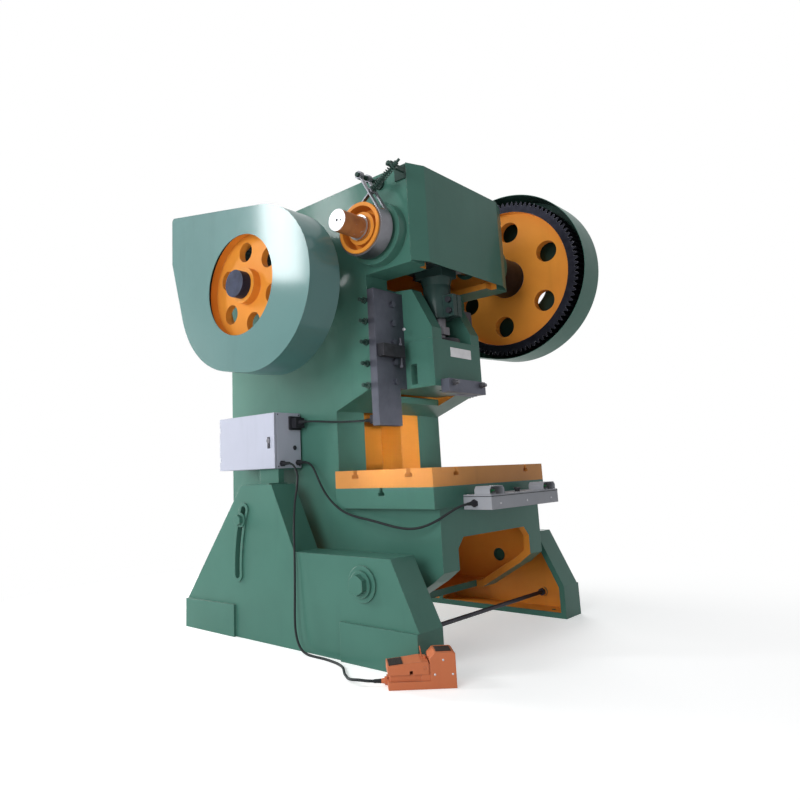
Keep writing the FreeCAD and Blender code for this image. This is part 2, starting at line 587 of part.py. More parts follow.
def connecting_rod():
    ring = rod_x(CRANK_Y, BIG_END_Z, BIG_END_R, -ROD_HALF, ROD_HALF)
    shoulder = box(-ROD_HALF, ROD_HALF, CRANK_Y - BIG_END_R, CRANK_Y + BIG_END_R, SHOULDER_BOTTOM, BIG_END_Z)
    neck = Part.makeCone(HOUSING_R, NECK_R, NECK_HEIGHT, V(0, CRANK_Y, HOUSING_TOP), AXIS_Z)
    waist = box(-ROD_HALF, ROD_HALF, CRANK_Y - NECK_R, CRANK_Y + NECK_R,
                HOUSING_TOP + NECK_HEIGHT - 1, SHOULDER_BOTTOM + 1)
    housing = rod_z(0, CRANK_Y, HOUSING_R, HOUSING_BOTTOM, HOUSING_TOP)
    ear_front = CLAMP_Y - 30
    ears = box(-45, 45, ear_front, CRANK_Y, HOUSING_BOTTOM, HOUSING_BOTTOM + EAR_HEIGHT)
    body = fused([ring, shoulder, waist, neck, housing, ears])
    body = body.cut(half_space(BIG_END_Z, BIG_END_Z + 2 * BIG_END_R))
    body = body.cut(rod_x(CRANK_Y, BIG_END_Z, SLEEVE_R + RUNNING, -ROD_HALF - 1, ROD_HALF + 1))
    body = body.cut(rod_z(0, CRANK_Y, SCREW_R + RUNNING, HOUSING_BOTTOM - 1, HOUSING_TOP - 12))
    body = body.cut(box(-5, 5, ear_front - 10, CRANK_Y, HOUSING_BOTTOM - 1, HOUSING_BOTTOM + EAR_HEIGHT + 1))
    for z in CLAMP_Z:
        body = body.cut(rod_x(CLAMP_Y, z, CLAMP_BOLT_R, -60, 60))
    for y in (CRANK_Y - ROD_BOLT_REACH, CRANK_Y + ROD_BOLT_REACH):
        body = body.cut(rod_z(0, y, ROD_BOLT_R, SHOULDER_BOTTOM - 10, BIG_END_Z + 1))
    return body


def rod_cap():
    ring = rod_x(CRANK_Y, BIG_END_Z, BIG_END_R, -ROD_HALF, ROD_HALF)
    cap = ring.cut(half_space(BIG_END_Z - 2 * BIG_END_R, BIG_END_Z))
    cap = cap.cut(rod_x(CRANK_Y, BIG_END_Z, SLEEVE_R + RUNNING, -ROD_HALF - 1, ROD_HALF + 1))
    for y in (CRANK_Y - ROD_BOLT_REACH, CRANK_Y + ROD_BOLT_REACH):
        cap = cap.cut(rod_z(0, y, 34, BIG_END_Z + CAP_SEAT, BIG_END_Z + BIG_END_R + 22))
        cap = cap.cut(rod_z(0, y, ROD_BOLT_R, BIG_END_Z - 1, BIG_END_Z + CAP_SEAT + 1))
    return cap


def rod_bolts():
    """The two cap bolts with their nuts, and the two bolts that clamp the adjusting screw."""
    bolts = []
    for y in (CRANK_Y - ROD_BOLT_REACH, CRANK_Y + ROD_BOLT_REACH):
        bolts.append(fused([rod_z(0, y, ROD_BOLT_R, SHOULDER_BOTTOM - 34, BIG_END_Z + CAP_SEAT + 1),
                            hexagon(48, 24, V(0, y, SHOULDER_BOTTOM - 24), AXIS_Z),
                            hexagon(48, 24, V(0, y, BIG_END_Z + CAP_SEAT), AXIS_Z)]))
    for z in CLAMP_Z:
        bolts.append(fused([rod_x(CLAMP_Y, z, CLAMP_BOLT_R, -60, 60),
                            hexagon(36, 20, V(-65, CLAMP_Y, z), AXIS_X),
                            hexagon(36, 20, V(45, CLAMP_Y, z), AXIS_X)]))
    return Part.Compound(bolts)


def ball_screw():
    """The adjusting screw: a thread in the rod, a collar to turn it by, and a ball in the slide."""
    collar = HOUSING_BOTTOM - 105
    return fused([rod_z(0, CRANK_Y, SCREW_R, collar + 45, HOUSING_TOP - 20),
                  hexagon(112, 50, V(0, CRANK_Y, collar), AXIS_Z),
                  rod_z(0, CRANK_Y, 38, BALL_Z, collar + 50),
                  Part.makeSphere(BALL_R, V(0, CRANK_Y, BALL_Z))])


# ---- slide --------------------------------------------------------------------------------
KNOCK_SLOT = (-606.0, -560.0, 1472.0, 1598.0)
CLAMP_STUD_X = (-150.0, 150.0)
CLAMP_STUD_Z = 1468.0
CLAMP_STUD_R = 11.0
CLAMP_DEPTH = 58.0
SLIDE_WINDOW = 160.0            # half the width of the cap's opening for the rod
BALL_POCKET_R = 105.0


def slide_section(z0, z1):
    """The slide's T-shaped plan: a neck between the gib plates and a wide way behind them."""
    neck = SLIDE_HALF - SLIDE_PLAY
    wide = WAY_HALF - SLIDE_PLAY
    front = GUIDE_Y + SLIDE_PLAY
    return fused([box(-neck, neck, SLIDE_FRONT, front + 10, z0, z1),
                  box(-wide, wide, front, WAY_REAR - SLIDE_PLAY, z0, z1)])


def slide():
    body = slide_section(SLIDE_BOTTOM, SLIDE_SEAM)
    body = body.cut(Part.makeSphere(BALL_R + RUNNING, V(0, CRANK_Y, BALL_Z)))
    body = body.cut(rod_z(0, CRANK_Y, BALL_POCKET_R, BALL_Z, SLIDE_SEAM + 1))
    y0, y1, z0, z1 = KNOCK_SLOT
    body = body.cut(box(-400, 400, y0, y1, z0, z1))
    body = body.cut(rod_z(0, CRANK_Y, SHANK_R, SLIDE_BOTTOM - 1, z0 + 1))
    for x in CLAMP_STUD_X:
        body = body.cut(rod_y(x, CLAMP_STUD_Z, CLAMP_STUD_R, SLIDE_FRONT - 1, SLIDE_FRONT + 60))
    return body


def slide_cap():
    """The cheeks bolted on above the seam, sloped at the front and open in the middle."""
    cap = slide_section(SLIDE_SEAM, SLIDE_TOP)
    slope = side_prism([(SLIDE_FRONT - 10, 1790), (-600, 2070), (GUIDE_Y - 1, SLIDE_TOP),
                        (GUIDE_Y - 1, SLIDE_TOP + 50), (SLIDE_FRONT - 10, SLIDE_TOP + 50)], -500, 500)
    cap = cap.cut(slope)
    well = box(-SLIDE_WINDOW, SLIDE_WINDOW, CRANK_Y - 165, CRANK_Y + 170, SLIDE_SEAM - 1, SLIDE_TOP + 60)
    window = box(-SLIDE_WINDOW, SLIDE_WINDOW, SLIDE_FRONT - 20, CRANK_Y, SLIDE_SEAM + 58, SLIDE_TOP + 60)
    return cap.cut(well.fuse(window))


def ball_cap():
    ring = fused([rod_z(0, CRANK_Y, BALL_POCKET_R - 0.1, BALL_Z + 0.3, SLIDE_SEAM + 2),
                  rod_z(0, CRANK_Y, 125, SLIDE_SEAM, SLIDE_SEAM + 24)])
    ring = ring.cut(Part.makeSphere(BALL_R + RUNNING, V(0, CRANK_Y, BALL_Z)))
    return ring.cut(rod_z(0, CRANK_Y, 52, BALL_Z, SLIDE_SEAM + 30))


def die_clamp():
    """The block that grips the die shank, held to the slide's front by two studs."""
    block = box(-200, 200, SLIDE_FRONT - CLAMP_DEPTH, SLIDE_FRONT, SLIDE_BOTTOM - 38, SLIDE_BOTTOM + 42)
    for x in CLAMP_STUD_X:
        hole = rod_y(x, CLAMP_STUD_Z, CLAMP_STUD_R, SLIDE_FRONT - CLAMP_DEPTH - 2, SLIDE_FRONT + 1)
        block = block.cut(hole)
    return block


def die_clamp_studs():
    studs = []
    for x in CLAMP_STUD_X:
        nut_y = SLIDE_FRONT - CLAMP_DEPTH - 20
        studs.append(fused([rod_y(x, CLAMP_STUD_Z, CLAMP_STUD_R, nut_y - 17, SLIDE_FRONT + 60),
                            hexagon(34, 20, V(x, nut_y, CLAMP_STUD_Z), V(0, 1, 0))]))
    return Part.Compound(studs)


# ---- gears and flywheel -------------------------------------------------------------------
PRESSURE = math.radians(20.0)
BACKLASH = 1.2


def involute(angle):
    return math.tan(angle) - angle


def tooth_half_angle(teeth, radius):
    """Half the angle that one tooth takes up at this radius."""
    pitch_r = MODULE * teeth / 2.0
    base_r = pitch_r * math.cos(PRESSURE)
    width = math.pi * MODULE / 2.0 - BACKLASH
    here = math.acos(min(1.0, base_r / max(radius, base_r)))
    return width / (2.0 * pitch_r) + involute(PRESSURE) - involute(here)


def gear_face(teeth, first_tooth):
    """A toothed outline about the origin, with one tooth centred on first_tooth (radians)."""
    pitch_r = MODULE * teeth / 2.0
    radii = (pitch_r - 1.25 * MODULE, pitch_r, pitch_r + MODULE)
    corners = []
    for k in range(teeth):
        centre = first_tooth + 2.0 * math.pi * k / teeth
        for side, ring in ((-1, radii), (1, radii[::-1])):
            for radius in ring:
                turn = centre + side * tooth_half_angle(teeth, radius)
                corners.append(V(0, radius * math.cos(turn), radius * math.sin(turn)))
    return Part.Face(Part.makePolygon(corners + corners[:1]))


MESH_ANGLE = math.atan2(-GEAR_DROP, COUNTER_Y - CRANK_Y)
GEAR_HOLE_CIRCLE, GEAR_HOLE_R, GEAR_HOLE_PHASE = 362.0, 78.0, 38.0


def big_gear():
    blank = gear_face(GEAR_TEETH, MESH_ANGLE).extrude(V(GEAR_X1 - GEAR_X0, 0, 0))
    blank.translate(V(GEAR_X0, CRANK_Y, CRANK_Z))
    hub_end = GEAR_X1 + 12
    for x0, x1 in ((GEAR_X0 - 1, GEAR_X0 + GEAR_RECESS), (GEAR_X1 - GEAR_RECESS, GEAR_X1 + 1)):
        blank = blank.cut(tube_x(CRANK_Y, CRANK_Z, GEAR_RIM_INNER, GEAR_HUB_R, x0, x1))
    gear = blank.fuse(rod_x(CRANK_Y, CRANK_Z, GEAR_HUB_R, GEAR_HUB_X, hub_end)).removeSplitter()
    gear = gear.cut(rod_x(CRANK_Y, CRANK_Z, JOURNAL_R + RUNNING, GEAR_HUB_X - 1, hub_end + 1))
    for k in range(6):
        y, z = arc_point(CRANK_Y, CRANK_Z, GEAR_HOLE_CIRCLE, GEAR_HOLE_PHASE + 60 * k)
        gear = gear.cut(rod_x(y, z, GEAR_HOLE_R, GEAR_X0 - 1, GEAR_X1 + 1))
    return gear


def pinion():
    gap = MESH_ANGLE + math.pi + math.pi / PINION_TEETH
    blank = gear_face(PINION_TEETH, gap).extrude(V(GEAR_X1 - GEAR_X0 + 10, 0, 0))
    blank.translate(V(GEAR_X0 - 5, COUNTER_Y, COUNTER_Z))
    return blank.cut(rod_x(COUNTER_Y, COUNTER_Z, COUNTER_R, GEAR_X0 - 10, GEAR_X1 + 10))


def countershaft():
    hub_face = WHEEL_X0 - 5
    return fused([rod_x(COUNTER_Y, COUNTER_Z, COUNTER_R, WHEEL_X0 - 20, GEAR_X1 + 26),
                  rod_x(COUNTER_Y, COUNTER_Z, SHAFT_CAP_R, SHAFT_CAP_X, hub_face),
                  rod_x(COUNTER_Y, COUNTER_Z, 74, HOUSING_END + 10, GEAR_X0 - 5),
                  rod_x(COUNTER_Y, COUNTER_Z, 74, -WHEEL_HUB_X, -HOUSING_END - 10)])


WHEEL_HUB_X = 874.0
SHAFT_CAP_X, SHAFT_CAP_R = -1108.0, 84.0
BELT_PITCH = 26.0
GROOVE_DEPTH = 16.0
BELT_GAP = 0.3                  # between a belt and the floor of its groove


def groove_ring(y, z, radius, x):
    """The hollow that one belt groove leaves in a rim of this radius, centred at x."""
    floor = z + radius - GROOVE_DEPTH
    profile = [V(x - 11, y, z + radius + 1), V(x + 11, y, z + radius + 1), V(x + 7, y, floor), V(x - 7, y, floor)]
    face = Part.Face(Part.makePolygon(profile + profile[:1]))
    return face.revolve(V(x, y, z), AXIS_X, 360)


def groove_places(x0, x1):
    middle = (x0 + x1) / 2.0
    return [middle + BELT_PITCH * (k - (BELT_GROOVES - 1) / 2.0) for k in range(BELT_GROOVES)]


def flywheel():
    web_x0, web_x1 = WHEEL_WEB
    rim = tube_x(COUNTER_Y, COUNTER_Z, WHEEL_R, WHEEL_RIM_INNER, WHEEL_X0, WHEEL_X1)
    web = rod_x(COUNTER_Y, COUNTER_Z, WHEEL_RIM_INNER + 10, web_x0, web_x1)
    hub = rod_x(COUNTER_Y, COUNTER_Z, WHEEL_HUB_R, WHEEL_X0 - 5, -WHEEL_HUB_X)
    wheel = fused([rim, web, hub])
    wheel = wheel.cut(rod_x(COUNTER_Y, COUNTER_Z, COUNTER_R, WHEEL_X0 - 20, -WHEEL_HUB_X + 1))
    for k in range(6):
        y, z = arc_point(COUNTER_Y, COUNTER_Z, WHEEL_HOLE_CIRCLE, WHEEL_HOLE_PHASE + 60 * k)
        wheel = wheel.cut(rod_x(y, z, WHEEL_HOLE_R, web_x0 - 1, web_x1 + 1))
    for x in groove_places(WHEEL_X0, WHEEL_X1):
        wheel = wheel.cut(groove_ring(COUNTER_Y, COUNTER_Z, WHEEL_R, x))
    return wheel


# ---- motor drive --------------------------------------------------------------------------
MOTOR_X0, MOTOR_X1 = -790.0, -350.0
MOTOR_R = 150.0
PLATE_TOP = 2372.0


def motor():
    """The motor's housing, with its end bells, feet and terminal box."""
    feet = [box(x - 35, x + 35, MOTOR_Y - 150, MOTOR_Y + 150, PLATE_TOP, PLATE_TOP + 24) for x in (-690, -470)]
    walls = [box(x - 30, x + 30, MOTOR_Y - 110, MOTOR_Y + 110, PLATE_TOP, MOTOR_Z) for x in (-690, -470)]
    body = fused([rod_x(MOTOR_Y, MOTOR_Z, 135, MOTOR_X0 + 30, MOTOR_X1 - 60),
                  rod_x(MOTOR_Y, MOTOR_Z, MOTOR_R, MOTOR_X0 + 10, MOTOR_X0 + 40),
                  rod_x(MOTOR_Y, MOTOR_Z, 60, MOTOR_X0, MOTOR_X0 + 12),
                  rod_x(MOTOR_Y, MOTOR_Z, 140, MOTOR_X1 - 80, MOTOR_X1),
                  box(-640, -510, MOTOR_Y + 90, MOTOR_Y + 185, MOTOR_Z - 10, MOTOR_Z + 90)] + feet + walls)
    return body.cut(rod_x(MOTOR_Y, MOTOR_Z, 24 + RUNNING, MOTOR_X0 - 10, MOTOR_X0 + 60))


def motor_plate():
    """The plate the motor slides on, with the two rails that lift it off the frame."""
    plate = box(-800, -330, MOTOR_Y - 190, MOTOR_Y + 190, PLATE_TOP - 22, PLATE_TOP)
    rails = [box(-520, -330, y - 30, y + 30, 2300, PLATE_TOP - 22) for y in (MOTOR_Y - 150, MOTOR_Y + 150)]
    return fused([plate] + rails)


def motor_pulley():
    x0, x1 = WHEEL_X0 + 6, WHEEL_X1 - 6
    body = rod_x(MOTOR_Y, MOTOR_Z, PULLEY_R, x0, x1)
    for x in groove_places(WHEEL_X0, WHEEL_X1):
        body = body.cut(groove_ring(MOTOR_Y, MOTOR_Z, PULLEY_R, x))
    return body.fuse(rod_x(MOTOR_Y, MOTOR_Z, 24, x1 - 1, MOTOR_X0 + 55)).removeSplitter()


def belt_loop(radius_wheel, radius_pulley, x0, x1):
    """The area inside a belt run round both pulleys at these radii, as a thick plate."""
    span_y, span_z = MOTOR_Y - COUNTER_Y, MOTOR_Z - COUNTER_Z
    span = math.hypot(span_y, span_z)
    lean = math.degrees(math.atan2(span_z, span_y))
    open_deg = math.degrees(math.acos((radius_wheel - radius_pulley) / span))
    upper, lower = lean + open_deg, lean - open_deg

    def on(centre_y, centre_z, radius, degrees):
        y, z = arc_point(centre_y, centre_z, radius, degrees)
        return V(x0, y, z)

    wheel = [on(COUNTER_Y, COUNTER_Z, radius_wheel, a) for a in (upper, lean + 180, lower)]
    pulley = [on(MOTOR_Y, MOTOR_Z, radius_pulley, a) for a in (lower, lean, upper)]
    edges = [Part.Arc(*wheel).toShape(), Part.LineSegment(wheel[2], pulley[0]).toShape(),
             Part.Arc(*pulley).toShape(), Part.LineSegment(pulley[2], wheel[0]).toShape()]
    return Part.Face(Part.Wire(edges)).extrude(V(x1 - x0, 0, 0))


def drive_belts():
    belts = []
    for x in groove_places(WHEEL_X0, WHEEL_X1):
        outer = belt_loop(WHEEL_R - GROOVE_DEPTH + 12, PULLEY_R - GROOVE_DEPTH + 12, x - 6, x + 6)
        inside = belt_loop(WHEEL_R - GROOVE_DEPTH + BELT_GAP, PULLEY_R - GROOVE_DEPTH + BELT_GAP, x - 7, x + 7)
        belts.append(outer.cut(inside))
    return Part.Compound(belts)


# ---- guards -------------------------------------------------------------------------------
def tangent_angle(point, above):
    """The angle on the guard's arc where a straight edge from this point meets it."""
    dy, dz = point[0] - GUARD_Y, point[1] - GUARD_Z
    lean = math.degrees(math.atan2(dz, dy))
    half = math.degrees(math.acos(GUARD_R / math.hypot(dy, dz)))
    return lean + half if above else lean - half


def rounded(before, corner, after, radius):
    """The start, middle and end of the arc that rounds off the corner between three (y, z) points."""
    into = V(0, before[0] - corner[0], before[1] - corner[1]).normalize()
    out = V(0, after[0] - corner[0], after[1] - corner[1]).normalize()
    half = into.getAngle(out) / 2.0
    place = V(0, *corner)
    middle = place + (into + out).normalize() * (radius / math.sin(half) - radius)
    setback = radius / math.tan(half)
    return place + into * setback, middle, place + out * setback


def guard_outline(inset, x):
    """The guard's side outline: a round front, a flat top and a rear that curves in below."""
    top_deg = tangent_angle(GUARD_REAR_TOP, True)
    low_deg = tangent_angle(GUARD_REAR_LOW, False) + 360.0
    front = [arc_point(GUARD_Y, GUARD_Z, GUARD_R, a) for a in (top_deg, (top_deg + low_deg) / 2.0, low_deg)]
    low = rounded(front[2], GUARD_REAR_LOW, GUARD_REAR_MID, GUARD_LOW_ROUND)
    top = rounded(GUARD_REAR_MID, GUARD_REAR_TOP, front[0], GUARD_TOP_ROUND)
    front = [V(0, *p) for p in front]
    middle = V(0, *GUARD_REAR_MID)
    face = Part.Face(Part.Wire([Part.Arc(*front).toShape(),
                                Part.LineSegment(front[2], low[0]).toShape(),
                                Part.Arc(*low).toShape(),
                                Part.LineSegment(low[2], middle).toShape(),
                                Part.LineSegment(middle, top[0]).toShape(),
                                Part.Arc(*top).toShape(),
                                Part.LineSegment(top[2], front[0]).toShape()]))
    face.translate(V(x, 0, 0))
    return face.makeOffset2D(-inset, 2) if inset else face


def flywheel_guard():
    """A welded sheet box, open towards the frame, with a round hole in its face."""
    depth = GUARD_X1 - GUARD_X0
    shell = guard_outline(0, GUARD_X0).extrude(V(depth, 0, 0))
    inside = guard_outline(SHEET, GUARD_X0 + SHEET).extrude(V(depth, 0, 0))
    shell = shell.cut(inside)
    shell = shell.cut(rod_x(COUNTER_Y, COUNTER_Z, GUARD_HOLE_R, GUARD_X0 - 1, GUARD_X0 + SHEET + 1))
    return shell


def lobe_angles():
    """The direction of the gear guard's lobe, and how far its straight edges turn from it."""
    across, down = COUNTER_Y - CRANK_Y, COUNTER_Z - GEAR_GUARD_Z
    lean = math.degrees(math.atan2(down, across))
    return lean, math.degrees(math.acos((GEAR_GUARD_R - LOBE_R) / math.hypot(across, down)))


def gear_guard_outline(shrink, x0, x1):
    """A round cover with a lobe over the pinion, drawn in by shrink all round."""
    lobe_r = LOBE_R - shrink
    main_r = GEAR_GUARD_R - shrink
    lean, half = lobe_angles()

    def on(y, z, radius, degrees):
        return V(x0, *arc_point(y, z, radius, degrees))

    big = [on(CRANK_Y, GEAR_GUARD_Z, main_r, a) for a in (lean + half, lean + 180, lean - half)]
    small = [on(COUNTER_Y, COUNTER_Z, lobe_r, a) for a in (lean - half, lean, lean + half)]
    edges = [Part.Arc(*big).toShape(), Part.LineSegment(big[2], small[0]).toShape(),
             Part.Arc(*small).toShape(), Part.LineSegment(small[2], big[0]).toShape()]
    return Part.Face(Part.Wire(edges)).extrude(V(x1 - x0, 0, 0))


def gear_guard():
    cover = gear_guard_outline(0, GEAR_GUARD_X0, GEAR_GUARD_X1)
    cover = cover.cut(gear_guard_outline(SHEET, GEAR_GUARD_X0 - 1, GEAR_GUARD_X1 - SHEET))
    return cover.cut(rod_x(CRANK_Y, CRANK_Z, GEAR_GUARD_HOLE_R, GEAR_GUARD_X1 - SHEET - 1, GEAR_GUARD_X1 + 1))


def along(start, end, share):
    return start[0] + share * (end[0] - start[0]), start[1] + share * (end[1] - start[1])


def guard_brackets():
    """Flat bars from the side plates out to the straight edges of both guards."""
    arms = []
    top_deg = tangent_angle(GUARD_REAR_TOP, True)
    rear_deg = math.degrees(math.atan2(GUARD_REAR_LOW[0] - GUARD_REAR_MID[0],
                                       GUARD_REAR_MID[1] - GUARD_REAR_LOW[1]))
    for start, end, share, degrees in (
            (arc_point(GUARD_Y, GUARD_Z, GUARD_R, top_deg), GUARD_REAR_TOP, 0.22, top_deg),
            (GUARD_REAR_LOW, GUARD_REAR_MID, 0.73, rear_deg)):
        y, z = along(start, end, share)
        y, z = arc_point(y, z, -SHEET, degrees)
        arms.append(guard_arm(y, z, degrees, -FRAME_HALF, GUARD_X1 - 38))
    lean, half = lobe_angles()
    for degrees in (lean + half, lean - half):
        start = arc_point(CRANK_Y, GEAR_GUARD_Z, GEAR_GUARD_R - SHEET, degrees)
        end = arc_point(COUNTER_Y, COUNTER_Z, LOBE_R - SHEET, degrees)
        y, z = along(start, end, 0.5)
        arms.append(guard_arm(y, z, degrees, FRAME_HALF, GEAR_GUARD_X0 + 60))
    return Part.Compound(arms)


def guard_arm(y, z, degrees, x_frame, x_guard):
    """A bar whose outer face touches the band at (y, z), with a foot on the side plate."""
    foot_end = x_frame + math.copysign(8, x_guard)
    x0, x1 = sorted((x_frame, x_guard))
    bar = box(x0, x1, -8, 0, -25, 25)
    x0, x1 = sorted((x_frame, foot_end))
    arm = bar.fuse(box(x0, x1, -60, 0, -25, 25)).removeSplitter()
    arm.rotate(V(0, 0, 0), AXIS_X, degrees)
    arm.translate(V(0, y, z))
    return arm


# ---- brake --------------------------------------------------------------------------------
ANCHOR_Y, ANCHOR_Z = -616.0, 2680.0
LUG_Y, LUG_Z = -668.0, 2574.0
POST_Y, POST_Z = -838.0, 2668.0
LUG_R = 18.0
SPRING_SEAT = 4.0               # thickness of the washer under the spring
SPRING_GAP = 0.3                # between the coil's ends and what they press on


def brake_drum():
    rim = tube_x(CRANK_Y, CRANK_Z, DRUM_R, DRUM_R - 22, DRUM_X0, DRUM_X1)
    web = rod_x(CRANK_Y, CRANK_Z, DRUM_R - 10, DRUM_X1 - 24, DRUM_X1)
    hub = rod_x(CRANK_Y, CRANK_Z, 98, DRUM_X0 + 20, DRUM_X1)
    drum = fused([rim, web, hub])
    return drum.cut(rod_x(CRANK_Y, CRANK_Z, JOURNAL_R, DRUM_X0 - 1, DRUM_X1 + 1))


def brake_band():
    """The lined steel band, its forked front end and its narrow rear end."""
    inner, outer = DRUM_R + 0.5, DRUM_R + 12.0
    ring = tube_x(CRANK_Y, CRANK_Z, outer, inner, BAND_X0, BAND_X1)
    gap_from, gap_to = 77.0, 149.0
    wedge = [(CRANK_Y, CRANK_Z)] + [arc_point(CRANK_Y, CRANK_Z, 400, a) for a in
                                    (gap_from, (gap_from + gap_to) / 2.0, gap_to)]
    ring = ring.cut(side_prism(wedge, BAND_X0 - 1, BAND_X1 + 1))
    middle = (BAND_X0 + BAND_X1) / 2.0
    tongue = strip(arc_point(CRANK_Y, CRANK_Z, outer - 4, gap_from), (LUG_Y, LUG_Z), middle - 12, middle + 12)
    forks = [strip(arc_point(CRANK_Y, CRANK_Z, outer - 4, gap_to), (ANCHOR_Y, ANCHOR_Z), x, x + 28)
             for x in (BAND_X0, BAND_X1 - 28)]
    lug = rod_x(LUG_Y, LUG_Z, LUG_R, middle - 12, middle + 12)
    eyes = [rod_x(ANCHOR_Y, ANCHOR_Z, 24, x, x + 28) for x in (BAND_X0, BAND_X1 - 28)]
    band = fused([ring, tongue, lug] + forks + eyes)
    return band.cut(rod_x(ANCHOR_Y, ANCHOR_Z, 14, BAND_X0 - 1, BAND_X1 + 1))


def strip(start, end, x0, x1, thickness=8.0):
    """A straight strap between two (y, z) points."""
    dy, dz = end[0] - start[0], end[1] - start[1]
    length = math.hypot(dy, dz)
    ny, nz = -dz / length * thickness / 2.0, dy / length * thickness / 2.0
    return side_prism([(start[0] + ny, start[1] + nz), (end[0] + ny, end[1] + nz),
                       (end[0] - ny, end[1] - nz), (start[0] - ny, start[1] - nz)], x0, x1)


def spring_line():
    """Where the brake's spring rod starts, and the direction it runs in."""
    middle = (BAND_X0 + BAND_X1) / 2.0
    start = V(middle, LUG_Y, LUG_Z)
    heading = (V(middle, POST_Y, POST_Z) - start).normalize()
    return start, heading


def brake_bracket():
    """The anchor pin and the post for the spring rod, both on the frame's left side."""
    middle = (BAND_X0 + BAND_X1) / 2.0
    pin = rod_x(ANCHOR_Y, ANCHOR_Z, 14, BAND_X0 - 14, -FRAME_HALF)
    pin_foot = rod_x(ANCHOR_Y, ANCHOR_Z, 38, -FRAME_HALF - 16, -FRAME_HALF)
    start, heading = spring_line()
    reach = (V(middle, POST_Y, POST_Z) - start).Length
    plate = Part.makeBox(8, 46, 46, V(0, -23, -23))
    plate.Placement = FreeCAD.Placement(start + heading * reach, FreeCAD.Rotation(AXIS_X, heading))
    post_back = NOSE_Y + 18
    post = box(middle - 8, -FRAME_HALF, post_back - 16, post_back, POST_Z + 16, POST_Z + 44)
    foot = box(-FRAME_HALF - 10, -FRAME_HALF, NOSE_Y + 1, NOSE_Y + 77, POST_Z - 18, POST_Z + 67)
    join = box(middle - 16, middle + 16, POST_Y, post_back, POST_Z + 16, POST_Z + 32)
    anchor = fused([pin, pin_foot])
    holder = fused([post, foot, join, plate])
    holder = holder.cut(Part.makeCylinder(8.5, 400, start, heading))
    return Part.Compound([anchor, holder])


def brake_rod():
    start, heading = spring_line()
    reach = (V(start.x, POST_Y, POST_Z) - start).Length
    bar = Part.makeCylinder(8, reach + 40, start + heading * 15, heading)
    bar = bar.cut(rod_x(LUG_Y, LUG_Z, LUG_R, start.x - 20, start.x + 20))
    seat = Part.makeCylinder(SPRING_R + 5, SPRING_SEAT, start + heading * LUG_R, heading)
    nuts = [hexagon(26, 12, start + heading * (reach + 8 + k * 13), heading) for k in (0, 1)]
    return fused([bar, seat] + nuts)


def brake_spring():
    """One unbroken coil between the band's lug and the post."""
    start, heading = spring_line()
    reach = (V(start.x, POST_Y, POST_Z) - start).Length
    first = LUG_R + SPRING_SEAT + SPRING_WIRE + SPRING_GAP
    length = reach - SPRING_WIRE - SPRING_GAP - first
    pitch = length / SPRING_TURNS
    helix = Part.makeHelix(pitch, length, SPRING_R)
    ring = Part.Wire(Part.makeCircle(SPRING_WIRE, V(SPRING_R, 0, 0), V(0, 1, 0)))
    coil = Part.Wire(helix).makePipeShell([ring], True, True)
    coil.Placement = FreeCAD.Placement(start + heading * first, FreeCAD.Rotation(AXIS_Z, heading))
    print("brake_spring turns", SPRING_TURNS, "least gap between turns", round(pitch - 2 * SPRING_WIRE, 2))
    return coil


# ---- electrics ----------------------------------------------------------------------------
CORD_D = 13.0
CONNECTOR_A = (BOX[1] - 52.0, 62.0, 1288.0)
GLAND_B = (BOX[1] - 30.0, 100.0, 1036.0)
GLAND_C = (BOX[0] + 38.0, 100.0, 1032.0)
DOOR_GAP = 3.0                  # between the closed door and the box's open edge
DOOR_DEPTH = 16.0
BOX_SHEET = 3.0


HINGE_X, HINGE_Y = BOX[0] - 11.0, BOX[3] - 8.0
HINGE_R = 8.0
HINGE_PIN_R = 3.5
EYE_HEIGHT = 30.0
KNUCKLE_GAP = 0.3               # between a box eye and the door knuckle above it
EYE_Z = (BOX[4] + 60.0, BOX[5] - 90.0)


def control_box():
    x0, x1, y0, y1, z0, z1 = BOX
    shell = box(x0, x1, y0, y1, z0, z1)
    wall = BOX_SHEET
    shell = shell.cut(box(x0 - 1, x1 - wall, y0 + wall, y1 - wall, z0 + wall, z1 - wall))
    mounting_plate = box(x1 - 12, x1 - wall, y0 + 40, y1 - 40, z0 + 40, z1 - 40)
    contactors = [box(x1 - 92, x1 - 11, y0 + 70 + 90 * k, y0 + 140 + 90 * k, z1 - 150, z1 - 60)
                  for k in range(5)]
    terminals = box(x1 - 55, x1 - 11, y0 + 70, y1 - 70, z0 + 70, z0 + 120)
    hinges = []
    for z in EYE_Z:
        hinges.append(rod_z(HINGE_X, HINGE_Y, HINGE_R, z, z + EYE_HEIGHT))
        hinges.append(rod_z(HINGE_X, HINGE_Y, HINGE_PIN_R, z, z + 2 * EYE_HEIGHT - 4))
        hinges.append(box(HINGE_X, x0 + 30, y1 - wall, y1, z, z + EYE_HEIGHT))
    return fused([shell, mounting_plate, terminals] + contactors + hinges)


